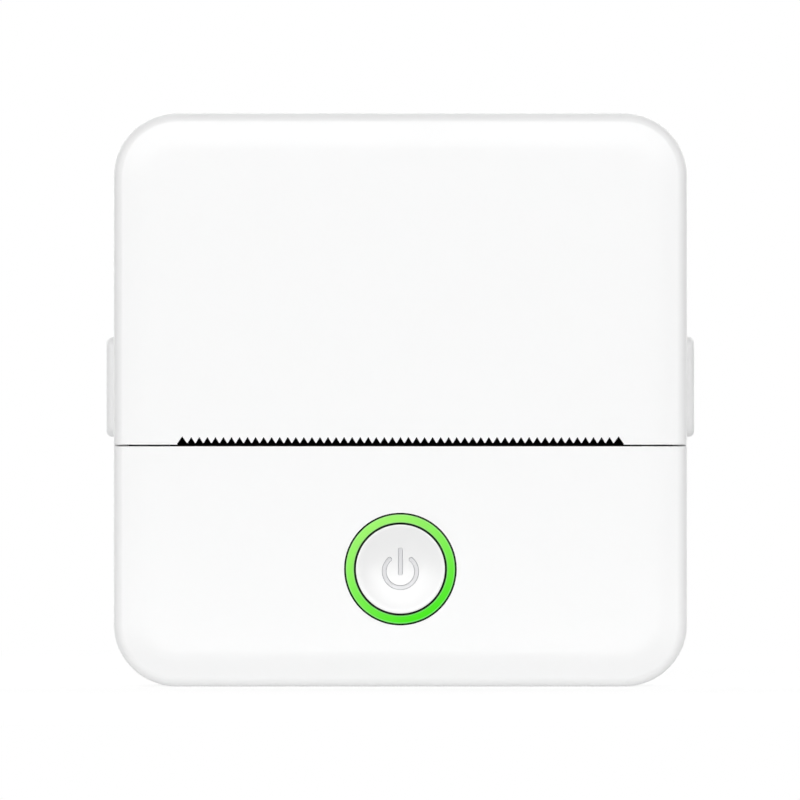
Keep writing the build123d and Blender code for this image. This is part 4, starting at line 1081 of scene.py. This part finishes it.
class PRINTER_OT_electronics(PieceOperator, bpy.types.Operator):
    """Finish the board and fit it with chips, and build the lamps, battery pouch, switch and sensor"""
    bl_idname = "printer.electronics"
    bl_label = "Electronics"

    def execute(self, context):
        look = context.scene.printer_board
        self.black = moulded("chip_black", (0.02, 0.02, 0.021), 0.45, mottle=0.1)
        self.tin = metal("lead_tin", (0.72, 0.72, 0.72), 0.3, EVEN_GRAIN)
        finish_nodes(moulded("flex_film", (0.6, 0.3, 0.06), 0.3, mottle=0.1), "head_ribbon")
        finish_nodes(moulded("solder_mask", look.mask_colour, 0.3, mottle=0.15), "main_board")
        finish_nodes(moulded("connector_nylon", (0.8, 0.78, 0.7), 0.45), "ribbon_connector")
        finish_nodes(moulded("plunger_grey", (0.25, 0.25, 0.26), 0.4), "switch_plunger")
        self.board_pieces()
        self.copper_lines(look)
        self.lamps(look)
        self.battery_pouch()
        self.tact_switch()
        self.sensor()
        return {"FINISHED"}

    def board_pieces(self):
        """Chips, coil, crystal and small parts on the front face of the board."""
        ceramic = moulded("capacitor_tan", (0.42, 0.3, 0.18), 0.4)
        builder = bmesh.new()
        face = board_front_y
        chips = (
            # middle across and up, side and height in millimetres, legs on each side
            (-18.5, 16.5, 7.0, 0.9, 10),
            (18.5, 21.0, 5.0, 0.9, 8),
            (23.5, 13.0, 3.0, 0.85, 4),
            (-24.0, 24.0, 3.0, 0.85, 3),
        )
        for x, z, side, height, legs in chips:
            self.chip(builder, x * MM, z * MM, side * MM, height * MM, legs)
        # Radius and distance out along the coil's bobbin, in millimetres
        bobbin = ((0, 0), (2.0, 0), (2.0, 0.4), (1.4, 0.5), (1.4, 1.5), (2.0, 1.6), (2.0, 2.0), (0, 2.0))
        coil = place_on((18.0 * MM, face, 12.5 * MM), FRONT, UP)
        lathe(builder, coil, [(radius * MM, out * MM) for radius, out in bobbin], 40)
        crystal_low = (-14.3 * MM, face - 0.7 * MM, 24.2 * MM)
        crystal_high = (-11.1 * MM, face, 26.7 * MM)
        block(builder, crystal_low, crystal_high, 0.2 * MM, material=1)
        rows = (
            # first capacitor across and up in millimetres, capacitors in the row
            (-24.6, 9.5, 5),
            (-14.0, 9.0, 4),
            (12.8, 26.0, 5),
            (-11.5, 20.5, 2),
            (23.0, 18.5, 3),
        )
        spacing = 1.6
        for start_x, z, number in rows:
            for place in range(number):
                self.capacitor(builder, (start_x + spacing * place) * MM, z * MM)
        shown("board_components", builder, [self.black, self.tin, ceramic], "casing", "switch_black")

    def chip(self, builder, x, z, side, height, legs):
        """Flat package with legs out on its left and right."""
        face = board_front_y
        half = side / 2
        standoff = 0.1 * MM
        pitch = side * 0.9 / legs
        leg_half = pitch * 0.25
        leg_height = 0.35 * height
        leg_reach = 0.6 * MM
        block(builder, (x - half, face - height, z - half), (x + half, face - standoff, z + half),
              0.12 * MM)
        for number in range(legs):
            leg_z = z + (number - (legs - 1) / 2) * pitch
            for way in (-1, 1):
                low_x, high_x = sorted((x + way * half, x + way * (half + leg_reach)))
                block(builder, (low_x, face - leg_height, leg_z - leg_half),
                      (high_x, face, leg_z + leg_half), 0.03 * MM, material=1, segments=1)

    def capacitor(self, builder, x, z):
        """Upright ceramic capacitor between tinned ends."""
        half_width = 0.4 * MM
        half_length = 0.8 * MM
        height = 0.7 * MM
        end = 0.3 * MM
        inset = 0.02 * MM
        low = Vector((x - half_width, board_front_y - height, z - half_length))
        high = Vector((x + half_width, board_front_y, z + half_length))
        for low_z, high_z in ((low.z, low.z + end), (high.z - end, high.z)):
            block(builder, (low.x, low.y, low_z), (high.x, high.y, high_z), 0.06 * MM, material=1,
                  segments=1)
        block(builder, (low.x + inset, low.y + inset, low.z + end), (high.x - inset, high.y, high.z - end),
              0.05 * MM, material=2, segments=1)

    def copper_lines(self, look):
        """Copper lines under the solder mask, with plated holes at their ends."""
        builder = bmesh.new()
        at = place_on((0, board_front_y, 0), FRONT, UP)
        via = look.via_radius
        via_rise = 1.5 * look.trace_height
        via_profile = [(via, 0), (via * 0.9, via_rise), (via * 0.45, via_rise), (via * 0.4, 0), (via, 0)]
        bundles = (
            # first line's corners in millimetres, step to the next line, lines, width against the usual
            (((-14.2, 15.4), (-12.8, 15.4), (-5.4, 15.4)), (0, 0.63), 3, 1),
            (((-22.8, 16.4), (-25.9, 16.4), (-26.4, 16.9), (-26.4, 21.8)), (0.55, 0.63), 4, 1),
            (((15.3, 19.4), (13.0, 19.4), (12.2, 18.6), (11.2, 18.6)), (0, 0.56), 4, 1),
            (((25.6, 12.0), (28.2, 12.0), (30.2, 14.0), (31.2, 14.0)), (0, 0.67), 4, 1),
            (((-24.0, 5.0), (-22.6, 4.6), (14.0, 4.6), (15.4, 6.0), (15.4, 8.6)), (0, 0), 1, 2.4),
            (((-21.0, 28.3), (19.6, 28.3), (21.6, 26.3), (21.6, 24.4)), (0.7, 0.55), 2, 1),
            (((18.0, 10.2), (18.0, 7.4), (23.0, 7.4), (24.4, 8.8), (24.4, 10.8)), (0, 0), 1, 3),
            (((-18.6, 21.0), (-18.6, 24.2), (-17.4, 25.4), (-15.0, 25.4)), (0.5, -0.5), 3, 1),
        )
        for corners, step, lines, widening in bundles:
            for line in range(lines):
                run = [((a + step[0] * line) * MM, (b + step[1] * line) * MM) for a, b in corners]
                self.copper_line(builder, at, run, look.trace_width * widening / 2, look.trace_height)
                lathe(builder, place_on(at(*run[-1]), FRONT, UP), via_profile, 16, material=1)
        copper = moulded("masked_copper", look.trace_colour, 0.3, mottle=0.1)
        gold = metal("plated_gold", (0.83, 0.62, 0.26), 0.3, EVEN_GRAIN)
        shown("copper_lines", builder, [copper, gold], "casing", "board_green")

    def copper_line(self, builder, at, run, half, height):
        """One raised line through its corners, of even width."""
        top_share = 0.85
        section = ((1, 0), (top_share, height), (-top_share, height), (-1, 0))
        points = [Vector(point) for point in run]
        ways = [(after - before).normalized() for before, after in zip(points, points[1:])]
        loops = []
        for point, way_in, way_out in zip(points, [ways[0]] + ways, ways + [ways[-1]]):
            middle = (way_in + way_out).normalized()
            across = Vector((-middle.y, middle.x)) * (half / middle.dot(way_in))
            loops.append([at(point.x + across.x * side, point.y + across.y * side, out)
                          for side, out in section])
        closed_strip(builder, loops)

    def lamps(self, look):
        """Lamp packages that face the light ring, each with a lens in a white housing."""
        housing = moulded("lamp_housing", (0.85, 0.85, 0.83), 0.4)
        lens = moulded("lamp_lens", (0.75, 0.8, 0.2), 0.12, bump=0.05)
        builder = bmesh.new()
        half = look.lamp_size / 2
        outline = rounded_outline(half, half * 0.86, 0.12 * MM, 3)
        mouth = circle(half * 0.74, 28)
        lens_edge = circle(half * 0.6, 28)
        lens_depth_share = 0.35
        pad = (half * 0.3, half * 0.1)
        pad_height_share = 0.4
        for low, high in solids_of("ring_lights"):
            middle = (low + high) / 2
            heading = (middle - cap_middle) * Vector((1, 0, 1))
            at = place_on((middle.x, high.y, middle.z), FRONT, heading.normalized())
            height = high.y - low.y
            prism(builder, at, outline, 0, height, [mouth])
            hollow(builder, [(mouth, 0), (lens_edge, height * lens_depth_share)], below(at, height), 1, 0)
            for side in (-1, 1):
                for end in (-1, 1):
                    centre = (side * half * 0.55, end * half * 0.9)
                    slab(builder, at, centre, pad, (0, height * pad_height_share), 0.03 * MM, 2)
        shown("ring_lamps", builder, [housing, lens, self.tin], "casing", "lamp_resin", "ring_lights")

    def battery_pouch(self):
        """Foil pouch with soft edges, and its small board under yellow tape at the top."""
        foil = metal("pouch_foil", (0.72, 0.72, 0.74), 0.38, COARSE_GRAIN, mottle=0.1, bump=0.5,
                     depth=0.03 * MM)
        tape = moulded("polyimide_tape", (0.75, 0.36, 0.05), 0.2, bump=0.2)
        builder = bmesh.new()
        thickness = battery_high.y - battery_low.y
        half_width = (battery_high.x - battery_low.x) / 2
        terrace = 2.6 * MM
        half_height = (battery_high.z - battery_low.z - terrace) / 2
        middle = (battery_low + battery_high) / 2
        at = place_on((middle.x, battery_low.y, battery_low.z + half_height), FRONT, UP)
        stations = 12
        soft_edge = 1.6 * MM
        corner = 1.5 * soft_edge
        loops = []
        for station in range(stations + 1):
            depth = station / stations
            inset = soft_edge * (1 - math.sqrt(1 - (2 * depth - 1) ** 2))
            outline = rounded_outline(half_width - inset, half_height - inset, corner - inset)
            loops.append([at(a, b, -thickness * depth) for a, b in outline])
        strip(builder, loops)
        flat = rounded_outline(half_width - soft_edge, half_height - soft_edge, corner - soft_edge)
        fill_flat(builder, flat, level(at))
        fill_flat(builder, flat, level(at, -thickness))
        seam_low = battery_high.z - terrace - 0.8 * MM
        seam_high = battery_high.z - 0.3 * MM
        seam_half = 0.25 * MM
        seam_reach = half_width - 2 * MM
        block(builder, (-seam_reach, middle.y - seam_half, seam_low),
              (seam_reach, middle.y + seam_half, seam_high), 0.1 * MM)
        tape_reach = half_width * 0.7
        tape_low = seam_low + 0.7 * MM
        tape_front = middle.y - 1.5 * MM
        block(builder, (-tape_reach, tape_front, tape_low),
              (tape_reach, middle.y - seam_half, battery_high.z), 0.3 * MM, material=1)
        shown("battery_pouch", builder, [foil, tape], "casing", "pouch_foil", "battery")

    def tact_switch(self):
        """Push switch with a steel cover, four rivets and four legs."""
        builder = bmesh.new()
        middle = (switch_low + switch_high) / 2
        proud = 0.1 * MM
        at = place_on((middle.x, switch_low.y + proud, middle.z), FRONT, UP)
        half = (switch_high.x - switch_low.x) / 2
        height = switch_high.y - switch_low.y - proud
        cover = 0.3 * MM
        bore = 1.8 * MM
        bore_depth = 1.6 * MM
        rivet_place = half - 1.0 * MM
        rivet_profile = [(0, 0), (0.42 * MM, 0), (0.34 * MM, 0.7 * proud), (0, 0.95 * proud)]
        leg_spacing = 4.5 * MM
        outline = rounded_outline(half, half, 0.3 * MM)
        mouth = circle(bore, 32)
        fill_flat(builder, outline, level(at), [mouth], material=1)
        wall(builder, at, outline, (0, -cover), material=1)
        wall(builder, at, outline, (-cover, -height))
        fill_flat(builder, outline, level(at, -height))
        hollow(builder, [(mouth, 0), (mouth, bore_depth)], below(at))
        for side_x in (-1, 1):
            for side_z in (-1, 1):
                rivet = place_on(at(side_x * rivet_place, side_z * rivet_place), FRONT, UP)
                lathe(builder, rivet, rivet_profile, 16)
                leg_z = middle.z + side_z * leg_spacing / 2
                root = Vector((middle.x + side_x * half, switch_high.y, leg_z))
                self.switch_leg(builder, root, side_x)
        shown("tact_switch", builder, [self.black, self.tin], "casing", "switch_black", "power_switch")

    def switch_leg(self, builder, root, side):
        """Bent leg of the push switch: a foot on the board and a shank up the side."""
        half_width = 0.35 * MM
        thickness = 0.15 * MM
        foot_reach = 0.9 * MM
        shank_rise = 1.1 * MM
        # Their bevels differ, so that the two share no corner
        for reach, rise, bevel in ((foot_reach, thickness, 0.03 * MM), (thickness, shank_rise, 0.04 * MM)):
            low_x, high_x = sorted((root.x, root.x + side * reach))
            block(builder, (low_x, root.y - rise, root.z - half_width),
                  (high_x, root.y, root.z + half_width), bevel, material=1, segments=1)

    def sensor(self):
        """Reflective paper sensor with two windows in its top."""
        builder = bmesh.new()
        middle = (sensor_low + sensor_high) / 2
        at = place_on((middle.x, middle.y, sensor_high.z), UP, BACK)
        half_width = (sensor_high.x - sensor_low.x) / 2
        half_depth = (sensor_high.y - sensor_low.y) / 2
        height = sensor_high.z - sensor_low.z
        window_radius = 0.62 * MM
        window_place = 0.95 * MM
        window_depth = 0.35 * MM
        windows = [circle(window_radius, 24, (side * window_place, 0)) for side in (-1, 1)]
        prism(builder, at, rounded_outline(half_width, half_depth, 0.25 * MM), -height, 0, windows)
        for window in windows:
            hollow(builder, [(window, 0), (window, window_depth)], below(at), 1)
        lens = moulded("sensor_lens", (0.08, 0.02, 0.05), 0.08, bump=0.02)
        shown("sensor_body", builder, [self.black, lens], "casing", "switch_black", "paper_sensor")


# Studio

# Light of the top lamp against each rear lamp
TOP_LEVEL = 0.5


def aimed(piece, target):
    """Turn a lamp or camera towards a point."""
    piece.rotation_mode = "QUATERNION"
    piece.rotation_quaternion = (Vector(target) - piece.location).to_track_quat("-Z", "Y")


def far_lamp(name, towards, spread, level):
    """Soft lamp so far off that its light is even; level 1 lights a facing white fully."""
    lamp = bpy.data.lights.new(name, "SUN")
    lamp.angle = math.radians(spread)
    lamp.energy = math.pi * level
    piece = bpy.data.objects.new(name, lamp)
    bpy.context.scene.collection.objects.link(piece)
    piece.location = Vector(towards).normalized()
    aimed(piece, (0, 0, 0))


def seen_directly(tree):
    """1 for camera, glossy and transmission rays, else 0."""
    path = tree.nodes.new("ShaderNodeLightPath")
    total = path.outputs["Is Camera Ray"]
    for ray in ("Is Glossy Ray", "Is Transmission Ray"):
        either = add_node(tree, "ShaderNodeMath", {0: total, 1: path.outputs[ray]}, operation="MAXIMUM")
        total = either.outputs[0]
    return total


class PRINTER_OT_stage(PieceOperator, bpy.types.Operator):
    """Build the camera, the lamps, the white surround and the floor"""
    bl_idname = "printer.stage"
    bl_label = "Studio"

    def execute(self, context):
        look = context.scene.printer_stage
        self.camera(look)
        far_lamp("front_lamp", (-0.03, -1, 0.06), 42, look.front_level)
        for side, place in ((-1, "left"), (1, "right")):
            far_lamp(place + "_lamp", (side * 0.8, -0.55, 0.24), 50, look.side_level)
            far_lamp("rear_" + place + "_lamp", (side * 0.5, 0.8, 0.33), 60, look.rear_level)
        far_lamp("top_lamp", (0, 0.57, 0.82), 60, look.rear_level * TOP_LEVEL)
        self.surround(look)
        self.floor(look)
        context.scene.view_settings.view_transform = "Standard"
        return {"FINISHED"}

    def camera(self, look):
        """Long-lens camera straight in front, framed as in the photograph."""
        pixel = (casing_high.x - casing_low.x) / (OUTLINE_RIGHT - OUTLINE_LEFT)
        off_x = (PHOTO_MIDDLE_X - (OUTLINE_LEFT + OUTLINE_RIGHT) / 2) * pixel
        off_z = ((OUTLINE_TOP + OUTLINE_BOTTOM) / 2 - PHOTO_MIDDLE_Y) * pixel
        middle = Vector((off_x, cap_low.y, casing_high.z / 2 + off_z))
        camera = bpy.data.cameras.new("photo_camera")
        camera.sensor_width = 36
        camera.lens = camera.sensor_width * look.distance / (PHOTO_SIZE * pixel)
        camera.clip_end = 100
        eye = bpy.data.objects.new("photo_camera", camera)
        bpy.context.scene.collection.objects.link(eye)
        eye.location = middle + FRONT * look.distance
        aimed(eye, middle)
        bpy.context.scene.camera = eye

    def surround(self, look):
        """World that looks white and lights the printer evenly."""
        world = bpy.data.worlds.new("white_surround")
        world.use_nodes = True
        bpy.context.scene.world = world
        tree = world.node_tree
        sky = tree.nodes["Background"]
        sky.inputs["Color"].default_value = (1, 1, 1, 1)
        strength = add_node(tree, "ShaderNodeMapRange",
                            {"Value": seen_directly(tree), "To Min": look.sky_level})
        tree.links.new(strength.outputs["Result"], sky.inputs["Strength"])

    def floor(self, look):
        """Round white floor that shows the shadow near the printer and is plain white further out."""
        radius = 3.0
        drop = 0.02 * MM
        builder = bmesh.new()
        bmesh.ops.create_circle(builder, cap_ends=True, radius=radius, segments=96)
        mesh = bpy.data.meshes.new("floor")
        builder.to_mesh(mesh)
        builder.free()
        floor = bpy.data.objects.new("floor", mesh)
        bpy.context.scene.collection.objects.link(floor)
        floor.location.z = -drop

        material = bpy.data.materials.new("floor_white")
        material.use_nodes = True
        mesh.materials.append(material)
        tree = material.node_tree
        tree.nodes.clear()
        white = look.floor_white
        matt = add_node(tree, "ShaderNodeBsdfDiffuse", {"Color": (white, white, white, 1)})
        reach = add_node(tree, "ShaderNodeVectorMath", {0: place_in(tree)}, operation="LENGTH")
        seen = seen_directly(tree)

        # Distances from the middle where the glow starts and ends to fade, and the plain white to come
        glow_full, glow_gone = 0.05, 0.16
        white_none, white_full = 0.15, 0.5
        under = add_node(tree, "ShaderNodeMapRange",
                         {"Value": reach.outputs["Value"], "From Min": glow_full, "From Max": glow_gone,
                          "To Min": look.floor_glow, "To Max": 0})
        far = add_node(tree, "ShaderNodeMapRange",
                       {"Value": reach.outputs["Value"], "From Min": white_none, "From Max": white_full})

        # Shares of the lamps' light that the floor gets, and the glow that fills it up to white
        front_share = 0.09
        side_share = 0.24
        rear_share = 0.33
        top_share = 0.82
        lit = (look.sky_level + look.front_level * front_share + look.side_level * 2 * side_share
               + look.rear_level * (TOP_LEVEL * top_share + 2 * rear_share))
        lift = add_node(tree, "ShaderNodeMix",
                        {"Factor": seen, "A": under.outputs["Result"], "B": 1 - white * lit})
        glow = add_node(tree, "ShaderNodeEmission", {"Strength": lift.outputs["Result"]})
        near = add_node(tree, "ShaderNodeAddShader", {0: matt.outputs[0], 1: glow.outputs[0]})
        plain = add_node(tree, "ShaderNodeEmission", {"Strength": 1})
        far_seen = add_node(tree, "ShaderNodeMath", {0: seen, 1: far.outputs["Result"]},
                            operation="MULTIPLY")
        mix = add_node(tree, "ShaderNodeMixShader",
                       {"Fac": far_seen.outputs[0], 1: near.outputs[0], 2: plain.outputs[0]})
        add_node(tree, "ShaderNodeOutputMaterial", {"Surface": mix.outputs[0]})


OPERATORS = [
    PRINTER_OT_casing,
    PRINTER_OT_light_ring,
    PRINTER_OT_power_cap,
    PRINTER_OT_screws,
    PRINTER_OT_paper_roll,
    PRINTER_OT_print_head,
    PRINTER_OT_charging_socket,
    PRINTER_OT_springs,
    PRINTER_OT_mechanism,
    PRINTER_OT_electronics,
    PRINTER_OT_stage,
]


class PRINTER_PT_sidebar(bpy.types.Panel):
    """Printer settings and builders"""
    bl_label = "Photo Printer"
    bl_idname = "PRINTER_PT_sidebar"
    bl_space_type = "VIEW_3D"
    bl_region_type = "UI"
    bl_category = "Printer"

    def draw(self, context):
        for group, settings in GROUPS.items():
            box = self.layout.box()
            for field in settings.__annotations__:
                box.prop(getattr(context.scene, group), field)
        for operator in OPERATORS:
            self.layout.operator(operator.bl_idname)


def register():
    """Add the settings, the operators and the panel to Blender."""
    for settings in GROUPS.values():
        bpy.utils.register_class(settings)
    for operator in OPERATORS:
        bpy.utils.register_class(operator)
    bpy.utils.register_class(PRINTER_PT_sidebar)
    for group, settings in GROUPS.items():
        setattr(bpy.types.Scene, group, bpy.props.PointerProperty(type=settings))


def unregister():
    """Take the settings, the operators and the panel out of Blender."""
    for group in GROUPS:
        delattr(bpy.types.Scene, group)
    bpy.utils.unregister_class(PRINTER_PT_sidebar)
    for operator in reversed(OPERATORS):
        bpy.utils.unregister_class(operator)
    for settings in reversed(GROUPS.values()):
        bpy.utils.unregister_class(settings)


def main():
    """Build everything."""
    register()
    for operator in OPERATORS:
        getattr(bpy.ops.printer, operator.bl_idname.split(".")[1])()


if __name__ == "__main__":
    main()
